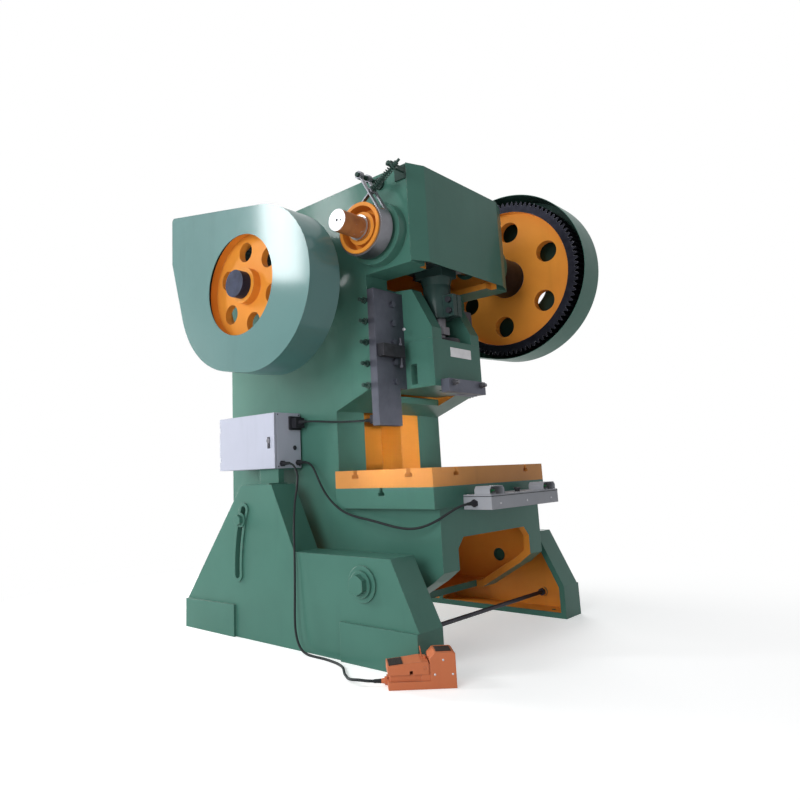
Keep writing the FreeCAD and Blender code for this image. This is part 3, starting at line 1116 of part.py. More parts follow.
def box_door():
    x0, _, y0, y1, z0, z1 = BOX
    inner = x0 - DOOR_GAP
    outer = inner - DOOR_DEPTH
    panel = box(outer, inner, y0 + 1, y1 - 1, z0 + 1, z1 - 1)
    panel = panel.cut(box(outer + 2, x0, y0 + 3, y1 - 3, z0 + 3, z1 - 3))
    knuckles, webs = [], []
    for z in EYE_Z:
        panel = panel.cut(box(outer - 1, x0, y1 - 18, y1 + 1, z - 2, z + EYE_HEIGHT + KNUCKLE_GAP))
        low, high = z + EYE_HEIGHT + KNUCKLE_GAP, z + 2 * EYE_HEIGHT - 4
        knuckles.append(rod_z(HINGE_X, HINGE_Y, HINGE_R, low, high))
        webs.append(box(outer + 0.5, outer + 5, y1 - 14, y1 - 2, low, high))
    door = fused([panel] + knuckles + webs)
    for z in EYE_Z:
        door = door.cut(rod_z(HINGE_X, HINGE_Y, HINGE_PIN_R + RUNNING, z, z + 2 * EYE_HEIGHT))
    return door.cut(rod_x(LOCK_PLACE[0], LOCK_PLACE[1], LOCK_R_DOOR, outer - 5, x0))


LOCK_PLACE = (BOX[2] + 55.0, (BOX[4] + BOX[5]) / 2.0)
LOCK_R_DOOR = 11.0


def door_lock():
    x0 = BOX[0]
    y, z = LOCK_PLACE
    outer = x0 - DOOR_GAP - DOOR_DEPTH
    return fused([rod_x(y, z, LOCK_R_DOOR - RUNNING, outer - 6, x0 - DOOR_GAP),
                  rod_x(y, z, 15, outer - 6, outer - 0.3),
                  box(x0 - 9, x0 - 4, y - 48, y + 8, z - 9, z + 9)])


def box_stand():
    """The bent plate that carries the control box on top of the left leg."""
    x1 = BOX[1]
    return fused([box(-838, -690, 120, 350, 908, 916),
                  box(-735, -690, 150, 330, 908, 1003),
                  box(-735, x1, 150, 330, 995, 1003)])


def box_connector():
    """The big multi-way plug on the box's front end, with its cable gland."""
    x, y, z = CONNECTOR_A
    y_face = BOX[2]
    return fused([box(x - 48, x + 48, y_face - 16, y_face, z - 46, z + 40),
                  box(x - 36, x + 36, y_face - 58, y_face - 16, z - 34, z + 28),
                  Part.makeCone(11, 16, y_face - 58 - y, V(x, y, z), V(0, 1, 0))])


def box_glands():
    """The two cable glands low on the box's front end."""
    glands = []
    for x, y, z in (GLAND_B, GLAND_C):
        glands.append(fused([Part.makeCone(10, 15, 26, V(x, y, z), V(0, 1, 0)),
                             hexagon(34, BOX[2] - y - 26, V(x, y + 26, z), V(0, 1, 0))]))
    return Part.Compound(glands)


CONSOLE_PLUG = (CONSOLE[0], -994.0, 771.0)
BUTTON_X = (-250.0, 350.0)
BUTTON_Y = -1040.0
STOP_X = 50.0
BUTTON_STEM_R = 14.0
SHROUD_WIDTH, SHROUD_HEIGHT = 150.0, 44.0
SHROUD_Y0, SHROUD_Y1 = -1088.0, -992.0


def shroud(x):
    """A bent sheet arch over one palm button, open in front and behind."""
    half = SHROUD_WIDTH / 2.0
    top = CONSOLE[5]

    def arch(inset):
        w, h = half - inset, SHROUD_HEIGHT - inset
        loop = [(x - w, top), (x - w, top + h - 16), (x - w + 16, top + h), (x + w - 16, top + h),
                (x + w, top + h - 16), (x + w, top)]
        points = [V(px, SHROUD_Y0, pz) for px, pz in loop]
        return Part.Face(Part.makePolygon(points + points[:1])).extrude(V(0, SHROUD_Y1 - SHROUD_Y0, 0))

    return arch(0).cut(arch(3))


def console():
    """The two-hand control box bolted under the table's front edge."""
    x0, x1, y0, y1, z0, z1 = CONSOLE
    shell = box(x0, x1, y0, y1, z0, z1).cut(box(x0 + 3, x1 - 3, y0 + 3, y1 - 3, z0 + 3, z1 - 3))
    collars = [rod_z(x, BUTTON_Y, 34, z1, z1 + 7) for x in BUTTON_X]
    body = fused([shell] + [shroud(x) for x in BUTTON_X] + collars)
    for x in BUTTON_X + (STOP_X,):
        body = body.cut(rod_z(x, BUTTON_Y, BUTTON_STEM_R + RUNNING, z1 - 10, z1 + 12))
    return body


def console_plug():
    x, y, z = CONSOLE_PLUG
    return fused([hexagon(36, 16, V(x - 16, y, z), AXIS_X),
                  Part.makeCone(9, 15, 28, V(x - 44, y, z), AXIS_X)])


def push_button(x, cap_r, rise):
    top = CONSOLE[5]
    return fused([rod_z(x, BUTTON_Y, BUTTON_STEM_R, top - 14, top + rise),
                  rod_z(x, BUTTON_Y, cap_r, top + rise, top + rise + 10)])


SENSOR_X, SENSOR_Z = -505.0, 1262.0
SENSOR_END = GUIDE_Y + 52.0


def slide_sensor():
    """The small switch behind the lower end of the left gib plate."""
    return fused([box(-520, -470, GUIDE_Y, GUIDE_Y + 34, 1240, 1290),
                  rod_y(SENSOR_X, SENSOR_Z, 11, GUIDE_Y + 33, SENSOR_END)])


SWITCH_LENGTH, SWITCH_WIDTH = 306.0, 132.0
INLET_Z = 24.0


def behind_switch(distance):
    """A point on the switch's long axis, this far behind its rear end."""
    turn = math.radians(SWITCH_TURN)
    back = SWITCH_LENGTH / 2.0 + distance
    return SWITCH_X - back * math.cos(turn), SWITCH_Y - back * math.sin(turn), INLET_Z


SWITCH_INLET = behind_switch(30)
SWITCH_LEAD = behind_switch(80)
SENSOR_ROUTE = [CONNECTOR_A, (CONNECTOR_A[0], 20, 1288), (-592, -32, 1284),
                (-578, -88, 1279), (-561, -146, 1273),
                (-547, -206, 1268), (-537, -264, 1265), (-521, -322, 1263), (SENSOR_X, -372, SENSOR_Z),
                (SENSOR_X, SENSOR_END, SENSOR_Z)]
CONSOLE_ROUTE = [GLAND_B, (GLAND_B[0], 56, 1036), (-587, 12, 1020), (-597, -30, 984), (-607, -66, 936),
                 (-614, -104, 884), (-618, -148, 832), (-620, -202, 786), (-621, -262, 748),
                 (-621, -328, 724), (-621, -398, 708), (-621, -468, 698), (-621, -538, 686),
                 (-621, -608, 672), (-620, -676, 660), (-618, -744, 653), (-610, -810, 657),
                 (-590, -866, 674), (-556, -904, 696), (-518, -938, 725), (-474, -970, 754),
                 (-426, CONSOLE_PLUG[1], CONSOLE_PLUG[2]),
                 (CONSOLE[0] - 44.0, CONSOLE_PLUG[1], CONSOLE_PLUG[2])]
SWITCH_ROUTE = [GLAND_C, (GLAND_C[0], 58, 1032), (-717, 18, 1008), (-725, -12, 966), (-738, -26, 916),
                (-757, -34, 862), (-782, -46, 800), (-808, -66, 736), (-832, -88, 668), (-851, -108, 596),
                (-864, -122, 522), (-870, -128, 448), (-873, -129, 376), (-877, -131, 304),
                (-881, -132, 236), (-885, -134, 172), (-888, -140, 114), (-890, -158, 60), (-892, -190, 22),
                (-894, -234, 8), (-898, -292, 7), (-896, -356, 7), (-902, -412, 7), (-912, -464, 7),
                (-928, -514, 7), (-952, -558, 7), (-985, -595, 7), (-1019, -630, 7), (-1048, -671, 8),
                (-1079, -710, 12), (-1101, -757, 20), (-1101, -806, 27), SWITCH_LEAD, SWITCH_INLET]


# ---- foot switch --------------------------------------------------------------------------
PEDAL_PIVOT_U, PEDAL_PIVOT_Z = 168.0, 88.0
PEDAL_PIN_R = 7.0
PEDAL_WALL = 4.0
PEDAL_TOP = [(0, 100), (72, 107), (150, 116), (184, 113)]
SKIRT_LOW = 62.0


def switch_place(shape):
    """Moves a shape drawn about the switch's own middle to its place by the left leg."""
    shape.rotate(V(0, 0, 0), AXIS_Z, SWITCH_TURN)
    shape.translate(V(SWITCH_X, SWITCH_Y, 0))
    return shape


def local_box(u0, u1, v0, v1, z0, z1):
    return box(u0 - SWITCH_LENGTH / 2, u1 - SWITCH_LENGTH / 2, v0, v1, z0, z1)


def local_prism(points, v0, v1):
    """A bar with a (u, z) side outline, between two places across the switch."""
    loop = [V(u - SWITCH_LENGTH / 2, v0, z) for u, z in points]
    return Part.Face(Part.makePolygon(loop + loop[:1])).extrude(V(0, v1 - v0, 0))


def across_switch(u, z, radius, half):
    """A round bar across the switch."""
    return Part.makeCylinder(radius, 2 * half, V(u - SWITCH_LENGTH / 2, -half, z), V(0, 1, 0))


def foot_switch():
    """The base, the block under the pedal, the pivot cheeks and pin, and the hood over the contacts."""
    half = SWITCH_WIDTH / 2.0
    inner = half - PEDAL_WALL - 1.5
    base = local_box(0, SWITCH_LENGTH, -half, half, 0, 34)
    block = local_box(10, 150, -inner + 6, inner - 6, 33, 62)
    hood = local_prism([(190, 33), (SWITCH_LENGTH, 33), (SWITCH_LENGTH, 146), (298, 151), (216, 151),
                        (190, 126)], -half, half)
    cheeks = [local_box(150, 191, v, v + 10, 33, 104) for v in (-inner, inner - 10)]
    inlet = Part.makeCone(9, 15, 30, V(-SWITCH_LENGTH / 2 - 30, 0, INLET_Z), AXIS_X)
    nut = hexagon(34, 12, V(-SWITCH_LENGTH / 2 - 12, 0, INLET_Z), AXIS_X)
    pin = across_switch(PEDAL_PIVOT_U, PEDAL_PIVOT_Z, PEDAL_PIN_R, half - 1)
    return switch_place(fused([base, block, hood, inlet, nut, pin] + cheeks))


def foot_pedal():
    """A pressed-steel tray that swings on the pin, with a bare wire latch standing on it."""
    half = SWITCH_WIDTH / 2.0
    low = [(184, SKIRT_LOW), (112, SKIRT_LOW), (112, 78), (98, 78), (98, SKIRT_LOW), (0, SKIRT_LOW)]
    tray = local_prism(PEDAL_TOP + low, -half, half)
    under = [(max(PEDAL_WALL, u), z - PEDAL_WALL) for u, z in PEDAL_TOP]
    under[-1] = (185, under[-1][1])
    hollow = local_prism(under + [(185, 0), (PEDAL_WALL, 0)], -half + PEDAL_WALL, half - PEDAL_WALL)
    tray = tray.cut(hollow)
    tray = tray.cut(across_switch(PEDAL_PIVOT_U, PEDAL_PIVOT_Z, PEDAL_PIN_R + RUNNING, half + 1))
    latch = Part.makeCylinder(2.5, 56, V(162 - SWITCH_LENGTH / 2, 0, 111), V(-0.14, 0, 1))
    knob = Part.makeCylinder(8, 12, V(174 - SWITCH_LENGTH / 2, 0, 111), V(0, 0, 1))
    return switch_place(fused([tray, latch, knob]))


# ---- build --------------------------------------------------------------------------------
def build():
    leg = left_leg()
    save("left_leg", leg)
    save("right_leg", mirrored(leg))
    save("pivot_bolts", pivot_bolts())
    save("front_tie_rod", tie_rod())
    save("box_stand", box_stand())
    save("control_box", control_box())
    save("box_door", box_door())
    save("door_lock", door_lock())
    save("box_connector", box_connector())
    save("box_glands", box_glands())
    save("foot_switch", foot_switch())
    save("foot_pedal", foot_pedal())
    save("c_frame", c_frame())
    save("tilt_lock_bolts", lock_bolts())
    save("bolster_plate", bolster())
    save("front_hood", front_hood())
    save("crank_bushes", crank_bushes())
    save("countershaft_housings", counter_housings())
    save("left_gib", left_gib())
    save("right_gib", right_gib())
    save("gib_bolts", gib_bolts())
    save("gib_adjusting_screws", gib_adjusters())
    save("knockout_brackets", knockout_brackets())
    save("knockout_screws", knockout_screws())
    save("crankshaft", crankshaft())
    save("stroke_sleeve", sleeve())
    save("connecting_rod", connecting_rod())
    save("rod_cap", rod_cap())
    save("rod_bolts", rod_bolts())
    save("ball_screw", ball_screw())
    save("slide", slide())
    save("slide_cap", slide_cap())
    save("ball_cap", ball_cap())
    save("die_clamp", die_clamp())
    save("die_clamp_studs", die_clamp_studs())
    save("big_gear", big_gear())
    save("pinion", pinion())
    save("countershaft", countershaft())
    save("flywheel", flywheel())
    save("motor", motor())
    save("motor_plate", motor_plate())
    save("motor_pulley", motor_pulley())
    save("drive_belts", drive_belts())
    save("flywheel_guard", flywheel_guard())
    save("gear_guard", gear_guard())
    save("guard_brackets", guard_brackets())
    save("brake_drum", brake_drum())
    save("brake_band", brake_band())
    save("brake_bracket", brake_bracket())
    save("brake_rod", brake_rod())
    save("brake_spring", brake_spring())
    save("console", console())
    save("console_plug", console_plug())
    save("left_palm_button", push_button(BUTTON_X[0], 27, 15))
    save("right_palm_button", push_button(BUTTON_X[1], 27, 15))
    save("stop_button", push_button(STOP_X, 20, 14))
    save("slide_sensor", slide_sensor())
    save("sensor_cable", cord_tube("sensor_cable", SENSOR_ROUTE, CORD_D))
    save("console_cable", cord_tube("console_cable", CONSOLE_ROUTE, CORD_D))
    save("switch_cable", cord_tube("switch_cable", SWITCH_ROUTE, CORD_D))


build()
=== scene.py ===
"""Open-back inclinable stamping press: materials, cables and the small finished pieces.

Metres. +X is the operator's right, the front faces -Y, +Z is up, and the floor is z = 0.
"""
import math
import bmesh
import bpy
from mathutils import Matrix, Vector


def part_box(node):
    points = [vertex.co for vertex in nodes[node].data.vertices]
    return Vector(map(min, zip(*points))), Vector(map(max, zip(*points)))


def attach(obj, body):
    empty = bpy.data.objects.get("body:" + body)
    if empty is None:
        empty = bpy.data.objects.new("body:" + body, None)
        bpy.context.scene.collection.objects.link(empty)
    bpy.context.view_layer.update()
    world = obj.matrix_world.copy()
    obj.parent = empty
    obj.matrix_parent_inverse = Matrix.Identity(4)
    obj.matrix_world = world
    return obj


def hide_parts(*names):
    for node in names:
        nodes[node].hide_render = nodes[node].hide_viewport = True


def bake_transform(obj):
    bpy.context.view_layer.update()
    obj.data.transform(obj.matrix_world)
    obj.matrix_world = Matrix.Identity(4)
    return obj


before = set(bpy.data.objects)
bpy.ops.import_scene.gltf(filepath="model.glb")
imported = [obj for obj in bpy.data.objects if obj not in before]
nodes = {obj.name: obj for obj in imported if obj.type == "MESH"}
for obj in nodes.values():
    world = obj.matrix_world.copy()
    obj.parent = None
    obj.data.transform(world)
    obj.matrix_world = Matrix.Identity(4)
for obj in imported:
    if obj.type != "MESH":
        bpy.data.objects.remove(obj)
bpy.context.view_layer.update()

# Axes along X as (y, z), and radii about them
CRANK = (-0.610, 2.352)
SHAFTS_APART, COUNTER_DROP = 0.738, 0.240
COUNTER = (CRANK[0] + math.sqrt(SHAFTS_APART ** 2 - COUNTER_DROP ** 2), CRANK[1] - COUNTER_DROP)
MOTOR = (0.640, 2.530)
GEAR_COVER = (-0.610, 2.367)
GEAR_RIM_R, GEAR_HUB_R = 0.506, 0.142
WHEEL_RIM_R = 0.335
GEAR_COVER_R = 0.6225           # between the two faces of the cover's rim
COVER_LOBE_R = 0.2125           # the same at the lobe over the pinion
GEAR_COVER_END = 1.112          # between the two faces of its end wall
SHAFT_END_X = -0.920            # the crankshaft's left end
DRUM_END_X = -0.730             # 8 mm inside the brake drum's outer face
# Where the frame's and the legs' paint changes, each up to 10 mm off the surface it names
FRAME_INNER = 0.4935            # half the width between the side walls
CHEEK_INNER = 0.4015            # half the width between the cheeks
COLUMN_FACE_Y = -0.172          # front of the columns behind the table
PANEL_BACK_Y = -0.864           # back of the front panel
LEDGE_Z, BED_UNDER_Z = 0.745, 0.760
HEAD_LOW_Z, HEAD_HIGH_Z = 2.1415, 2.705
# and how low the bed's underside, and how far back the panel's back and the head, are orange
BED_UNDER_LOW, PANEL_REACH_Y, HEAD_REACH_Y = 0.5, -0.3, 0.2
LEG_FLANGE_X, LEG_WEB_X = 0.660, 0.8165
LEG_MIDDLE = (-0.05, 0.32)      # about the middle of a leg's hollow side, as (y, z)
# The foot switch: its middle on the floor, the turn of its long axis, and the way back to its end
SWITCH_PLACE, SWITCH_TURN, SWITCH_BACK = (-0.919, -1.018), math.radians(-46.0), 0.153
BOX_END_Y = 0.142               # front end of the control box
CABLE_D = 0.013
BOOT_TIP = 0.0084               # radius that a cable's boot tapers to


# ---- camera -------------------------------------------------------------------------------
def make_camera():
    """The photograph's viewpoint: low, at the press's left front corner, looking up."""
    yaw, pitch, roll = (math.radians(a) for a in (46.2045, 10.2483, -2.2599))
    ahead = Vector((math.sin(yaw) * math.cos(pitch), math.cos(yaw) * math.cos(pitch), math.sin(pitch)))
    level = Vector((math.cos(yaw), -math.sin(yaw), 0.0))
    above = level.cross(ahead)
    right = level * math.cos(roll) + above * math.sin(roll)
    up = above * math.cos(roll) - level * math.sin(roll)
    data = bpy.data.cameras.new("camera")
    camera = bpy.data.objects.new("camera", data)
    bpy.context.scene.collection.objects.link(camera)
    camera.matrix_world = Matrix.Translation((-3.467, -3.014, 0.960)) @ Matrix(
        (right, up, -ahead)).transposed().to_4x4()
    data.sensor_width = 36.0
    data.lens = 29.73
    data.shift_x = 0.0786
    data.shift_y = -0.0580
    data.clip_start, data.clip_end = 0.05, 60.0
    bpy.context.scene.camera = camera


make_camera()


# ---- node helpers -------------------------------------------------------------------------
class Shade:
    """A material's nodes, with sums written on sockets."""

    def __init__(self, name):
        self.material = bpy.data.materials.new(name)
        self.material.use_nodes = True
        self.tree = self.material.node_tree
        self.bsdf = self.tree.nodes["Principled BSDF"]
        self._where = None

    def new(self, kind, **settings):
        """A node with some of its settings."""
        node = self.tree.nodes.new(kind)
        for key, value in settings.items():
            setattr(node, key, value)
        return node

    def put(self, value, socket):
        """Links a socket, or writes a constant or a colour on the input itself."""
        if isinstance(value, bpy.types.NodeSocket):
            self.tree.links.new(value, socket)
        elif isinstance(value, tuple):
            socket.default_value = (*value, 1)
        else:
            socket.default_value = value

    def math(self, operation, *values):
        """One sum on sockets or constants."""
        node = self.new("ShaderNodeMath", operation=operation)
        for value, socket in zip(values, node.inputs):
            self.put(value, socket)
        return node.outputs[0]

    def less(self, value, limit):
        """1 where a value is below its limit."""
        return self.math("LESS_THAN", value, limit)

    def more(self, value, limit):
        """1 where a value is above its limit."""
        return self.math("GREATER_THAN", value, limit)

    def times(self, value, *others):
        """A product, which for masks is 1 only where all of them are 1."""
        for other in others:
            value = self.math("MULTIPLY", value, other)
        return value

    def where(self):
        """x, y, z of the surface point in the press's own frame."""
        if self._where is None:
            split = self.new("ShaderNodeSeparateXYZ")
            self.tree.links.new(self.new("ShaderNodeTexCoord").outputs["Object"], split.inputs[0])
            self._where = [split.outputs[i] for i in range(3)]
        return self._where

    def normal(self):
        """x, y, z of the surface's direction in the piece's own axes."""
        split = self.new("ShaderNodeSeparateXYZ")
        self.tree.links.new(self.new("ShaderNodeTexCoord").outputs["Normal"], split.inputs[0])
        return [split.outputs[i] for i in range(3)]

    def from_axis(self, centre):
        """The distance from an axis along X."""
        _, y, z = self.where()
        dy, dz = self.math("SUBTRACT", y, centre[0]), self.math("SUBTRACT", z, centre[1])
        return self.math("SQRT", self.math("ADD", self.times(dy, dy), self.times(dz, dz)))

    def noise(self, scale, detail, stretch=(1, 1, 1)):
        """Cloudy noise of so many grains to the metre."""
        mapping = self.new("ShaderNodeMapping")
        mapping.inputs["Scale"].default_value = stretch
        self.tree.links.new(self.new("ShaderNodeTexCoord").outputs["Object"], mapping.inputs[0])
        node = self.new("ShaderNodeTexNoise")
        self.tree.links.new(mapping.outputs[0], node.inputs["Vector"])
        node.inputs["Scale"].default_value = scale
        node.inputs["Detail"].default_value = detail
        node.inputs["Roughness"].default_value = 0.55
        return node.outputs["Fac"]

    def ramp(self, value, low, high):
        """0 below low, 1 above high, even in between."""
        node = self.new("ShaderNodeMapRange")
        self.put(value, node.inputs["Value"])
        node.inputs["From Min"].default_value = low
        node.inputs["From Max"].default_value = high
        return node.outputs[0]

    def blotch(self, scale, detail, low, high, share=None, stretch=(1, 1, 1)):
        """Patches of noise between two levels, at a share of their full strength."""
        patch = self.ramp(self.noise(scale, detail, stretch), low, high)
        return patch if share is None else self.times(patch, share)

    def mix(self, factor, first, second):
        """The first colour where the factor is 0, and the second where it is 1."""
        node = self.new("ShaderNodeMix", data_type="RGBA")
        self.put(factor, node.inputs["Factor"])
        self.put(first, node.inputs[6])
        self.put(second, node.inputs[7])
        return node.outputs[2]

    def edge(self, radius):
        """1 on sharp outer edges, 0 on flat faces."""
        bevel = self.new("ShaderNodeBevel", samples=4)
        bevel.inputs["Radius"].default_value = radius
        geometry = self.new("ShaderNodeNewGeometry")
        dot = self.new("ShaderNodeVectorMath", operation="DOT_PRODUCT")
        self.tree.links.new(bevel.outputs[0], dot.inputs[0])
        self.tree.links.new(geometry.outputs["Normal"], dot.inputs[1])
        return self.ramp(dot.outputs["Value"], 0.995, 0.85)

    def bump(self, height, strength, distance, radius):
        """Relief on the surface, whose sharp edges are rounded by a radius first."""
        node = self.new("ShaderNodeBump")
        node.inputs["Strength"].default_value = strength
        node.inputs["Distance"].default_value = distance
        self.tree.links.new(height, node.inputs["Height"])
        bevel = self.new("ShaderNodeBevel", samples=4)
        bevel.inputs["Radius"].default_value = radius
        self.tree.links.new(bevel.outputs[0], node.inputs["Normal"])
        self.tree.links.new(node.outputs[0], self.bsdf.inputs["Normal"])

    def uneven(self, base, scale, detail, span):
        """A roughness that noise moves off its base by up to a span."""
        return self.math("ADD", base, self.times(self.noise(scale, detail), span))

    def finish(self, colour, roughness, metallic=0.0, coat=0.0, coat_roughness=0.05, specular=0.10):
        """Writes the sums on the shader and gives the material back."""
        self.put(colour, self.bsdf.inputs["Base Color"])
        self.put(roughness, self.bsdf.inputs["Roughness"])
        self.put(metallic, self.bsdf.inputs["Metallic"])
        self.bsdf.inputs["Specular IOR Level"].default_value = specular
        self.bsdf.inputs["Coat Weight"].default_value = coat
        self.bsdf.inputs["Coat Roughness"].default_value = coat_roughness
        return self.material


GREEN = (0.062, 0.168, 0.132)
GREEN_DARK = (0.044, 0.124, 0.096)
ORANGE = (0.76, 0.285, 0.040)
ORANGE_DARK = (0.54, 0.175, 0.027)
IRON = (0.022, 0.022, 0.032)
BARE = (0.50, 0.50, 0.52)
CHIP = (0.30, 0.33, 0.31)       # what shows where an edge is rubbed
PAINT_COAT = {"coat": 0.12, "coat_roughness": 0.11}


def shade_of(colour, factor):
    """A colour made darker or lighter."""
    return tuple(c * factor for c in colour)


def paint_colour(s, main, dark):
    """Brushed-on machine enamel: slow changes of depth, dark streaks and specks of grime, rubbed edges."""
    colour = s.mix(s.blotch(2.3, 5.0, 0.35, 0.75, 0.55), main, dark)
    colour = s.mix(s.blotch(9.0, 4.0, 0.58, 0.78, 0.25, (1, 1, 0.12)), colour, shade_of(main, 0.62))
    colour = s.mix(s.blotch(160.0, 2.0, 0.70, 0.80, 0.18), colour, shade_of(main, 0.45))
    rub = s.times(s.edge(0.004), s.blotch(26.0, 4.0, 0.45, 0.70), 0.55)
    return s.mix(rub, colour, CHIP)


def paint_bump(s, radius):
    """Orange peel over the slow waves of a filled casting."""
    peel = s.noise(420.0, 2.0)
    wave = s.noise(7.0, 3.0)
    s.bump(s.math("ADD", s.times(peel, 0.10), wave), 0.35, 0.0022, radius)


def paint(name, main, dark, roughness=0.34, coat=0.12, specular=0.10):
    """Enamel in a main colour with darker clouds."""
    s = Shade(name)
    colour = paint_colour(s, main, dark)
    paint_bump(s, 0.004)
    return s.finish(colour, s.uneven(roughness, 14.0, 4.0, 0.14), coat=coat, coat_roughness=0.11,
                    specular=specular)


def two_paints(name, mask_of):
    """Green enamel, and orange where mask_of says so."""
    s = Shade(name)
    colour = s.mix(mask_of(s), paint_colour(s, GREEN, GREEN_DARK), paint_colour(s, ORANGE, ORANGE_DARK))
    paint_bump(s, 0.005)
    return s.finish(colour, s.uneven(0.30, 14.0, 4.0, 0.14), **PAINT_COAT)


def metal(name, colour, roughness=0.32, turned=None, grain=(1, 1, 1), dirt=0.35):
    """Bare metal with machining marks: turned rings about an axis, or a straight grain."""
    s = Shade(name)
    tint = s.mix(s.blotch(11.0, 5.0, 0.40, 0.75, dirt), colour, shade_of(colour, 0.42))
    tint = s.mix(s.blotch(75.0, 3.0, 0.66, 0.78, 0.30), tint, (0.10, 0.075, 0.06))
    tint = s.mix(s.times(s.edge(0.0015), 0.45), tint, tuple(min(1.0, c * 1.5) for c in colour))
    if turned:
        far, x = s.from_axis(turned), s.where()[0]
        marks = s.math("SINE", s.times(s.math("ADD", far, s.times(x, 0.7)), 2600.0))
    else:
        marks = s.noise(60.0, 3.0, grain)
    s.bump(marks, 0.16, 0.0004, 0.001)
    return s.finish(tint, s.uneven(roughness, 30.0, 4.0, 0.22), metallic=1.0)


def cast(name, colour, roughness=0.62):
    """Oily black casting skin."""
    s = Shade(name)
    tint = s.mix(s.blotch(16.0, 5.0, 0.35, 0.75), colour, shade_of(colour, 0.45))
    tint = s.mix(s.times(s.edge(0.002), 0.4), tint, (0.30, 0.30, 0.32))
    s.bump(s.noise(190.0, 4.0), 0.35, 0.0008, 0.0015)
    return s.finish(tint, s.uneven(roughness, 9.0, 3.0, -0.22), metallic=0.35)


def plastic(name, colour, roughness=0.42, grain=260.0):
    """Moulded plastic or rubber with a fine grain."""
    s = Shade(name)
    tint = s.mix(s.blotch(24.0, 4.0, 0.40, 0.80), colour, tuple(c * 0.70 + 0.012 for c in colour))
    s.bump(s.noise(grain, 2.0), 0.22, 0.0004, 0.0012)
    return s.finish(tint, s.uneven(roughness, 40.0, 3.0, 0.16))


# ---- where each finish lies ---------------------------------------------------------------
def frame_inside(s):
    """1 on the frame's inner walls and in its openings."""
    x, y, z = s.where()
    nx, ny, nz = s.normal()
    width = s.math("ABSOLUTE", x)
    between = s.less(width, FRAME_INNER)
    low = s.times(s.less(z, BED_UNDER_Z), s.more(y, PANEL_BACK_Y), between)
    total = s.times(s.less(s.times(s.math("SIGN", x), nx), -0.5), between)
    behind = s.times(s.more(y, COLUMN_FACE_Y), s.less(ny, -0.5), between)
    floor = s.times(s.more(nz, 0.4), s.less(z, LEDGE_Z), between)
    roof = s.times(low, s.less(nz, -0.9), s.more(z, BED_UNDER_LOW))
    front_back = s.times(low, s.more(ny, 0.5), s.less(y, PANEL_REACH_Y))
    nose = s.times(s.more(z, HEAD_LOW_Z), s.less(z, HEAD_HIGH_Z), s.less(width, CHEEK_INNER),
                   s.less(y, HEAD_REACH_Y))
    for part in (behind, floor, roof, front_back, nose):
        total = s.math("MAXIMUM", total, part)
    return total


def leg_inside(s):
    """1 on the hollow side of a leg."""
    x, y, z = s.where()
    _, ny, nz = s.normal()
    width = s.math("ABSOLUTE", x)
    dy, dz = s.math("SUBTRACT", y, LEG_MIDDLE[0]), s.math("SUBTRACT", z, LEG_MIDDLE[1])
    outward = s.math("ADD", s.times(ny, dy), s.times(nz, dz))
    return s.times(s.more(width, LEG_FLANGE_X), s.less(width, LEG_WEB_X), s.less(outward, 0.03))


def gear_cover_finish():
    """Green outside and on the edge, and dark green painted on the inside as the shade within the cover."""
    s = Shade("gear_cover_finish")
    inside = s.math("MAXIMUM", s.less(s.from_axis(GEAR_COVER), GEAR_COVER_R),
                    s.less(s.from_axis(COUNTER), COVER_LOBE_R))
    inside = s.times(inside, s.less(s.where()[0], GEAR_COVER_END), s.less(s.normal()[0], 0.5))
    # painted shade: the inside's dark green, in cloudy depths
    inside_shade = s.mix(s.blotch(9.0, 4.0, 0.35, 0.75), (0.021, 0.054, 0.044), (0.013, 0.030, 0.026))
    colour = s.mix(inside, paint_colour(s, GREEN, GREEN_DARK), inside_shade)
    paint_bump(s, 0.002)
    return s.finish(colour, s.uneven(0.34, 20.0, 4.0, 0.14), **PAINT_COAT)


def wheel_finish(name, centre, web_r, hub_r):
    """Orange web between a black rim and the hub."""
    s = Shade(name)
    web, hub = s.less(s.from_axis(centre), web_r), s.less(s.from_axis(centre), hub_r)
    rim = s.mix(s.blotch(22.0, 5.0, 0.35, 0.75), IRON, shade_of(IRON, 0.5))
    rim = s.mix(s.times(s.edge(0.002), 0.6), rim, (0.34, 0.34, 0.37))
    colour = s.mix(hub, s.mix(web, rim, paint_colour(s, ORANGE, ORANGE_DARK)), rim)
    painted = s.math("SUBTRACT", web, hub)
    paint_bump(s, 0.002)
    return s.finish(colour, s.uneven(0.30, 20.0, 4.0, 0.25),
                    metallic=s.math("SUBTRACT", 0.75, s.times(painted, 0.75)))


def shaft_finish():
    """Turned steel, with the bare end outside the brake drum painted over on its round side."""
    s = Shade("crankshaft_finish")
    round_side = s.less(s.math("ABSOLUTE", s.normal()[0]), 0.5)
    painted = s.times(s.less(s.where()[0], DRUM_END_X), round_side, s.blotch(34.0, 4.0, 0.30, 0.36))
    tint = s.mix(s.blotch(11.0, 5.0, 0.40, 0.75, 0.35), BARE, (0.21, 0.21, 0.22))
    brown = s.mix(s.blotch(12.0, 4.0, 0.4, 0.7), (0.42, 0.16, 0.055), (0.28, 0.10, 0.04))
    s.bump(s.noise(60.0, 3.0, (0.2, 1, 1)), 0.16, 0.0004, 0.001)
    return s.finish(s.mix(painted, tint, brown), s.uneven(0.30, 30.0, 4.0, 0.22),
                    metallic=s.math("SUBTRACT", 1.0, painted))


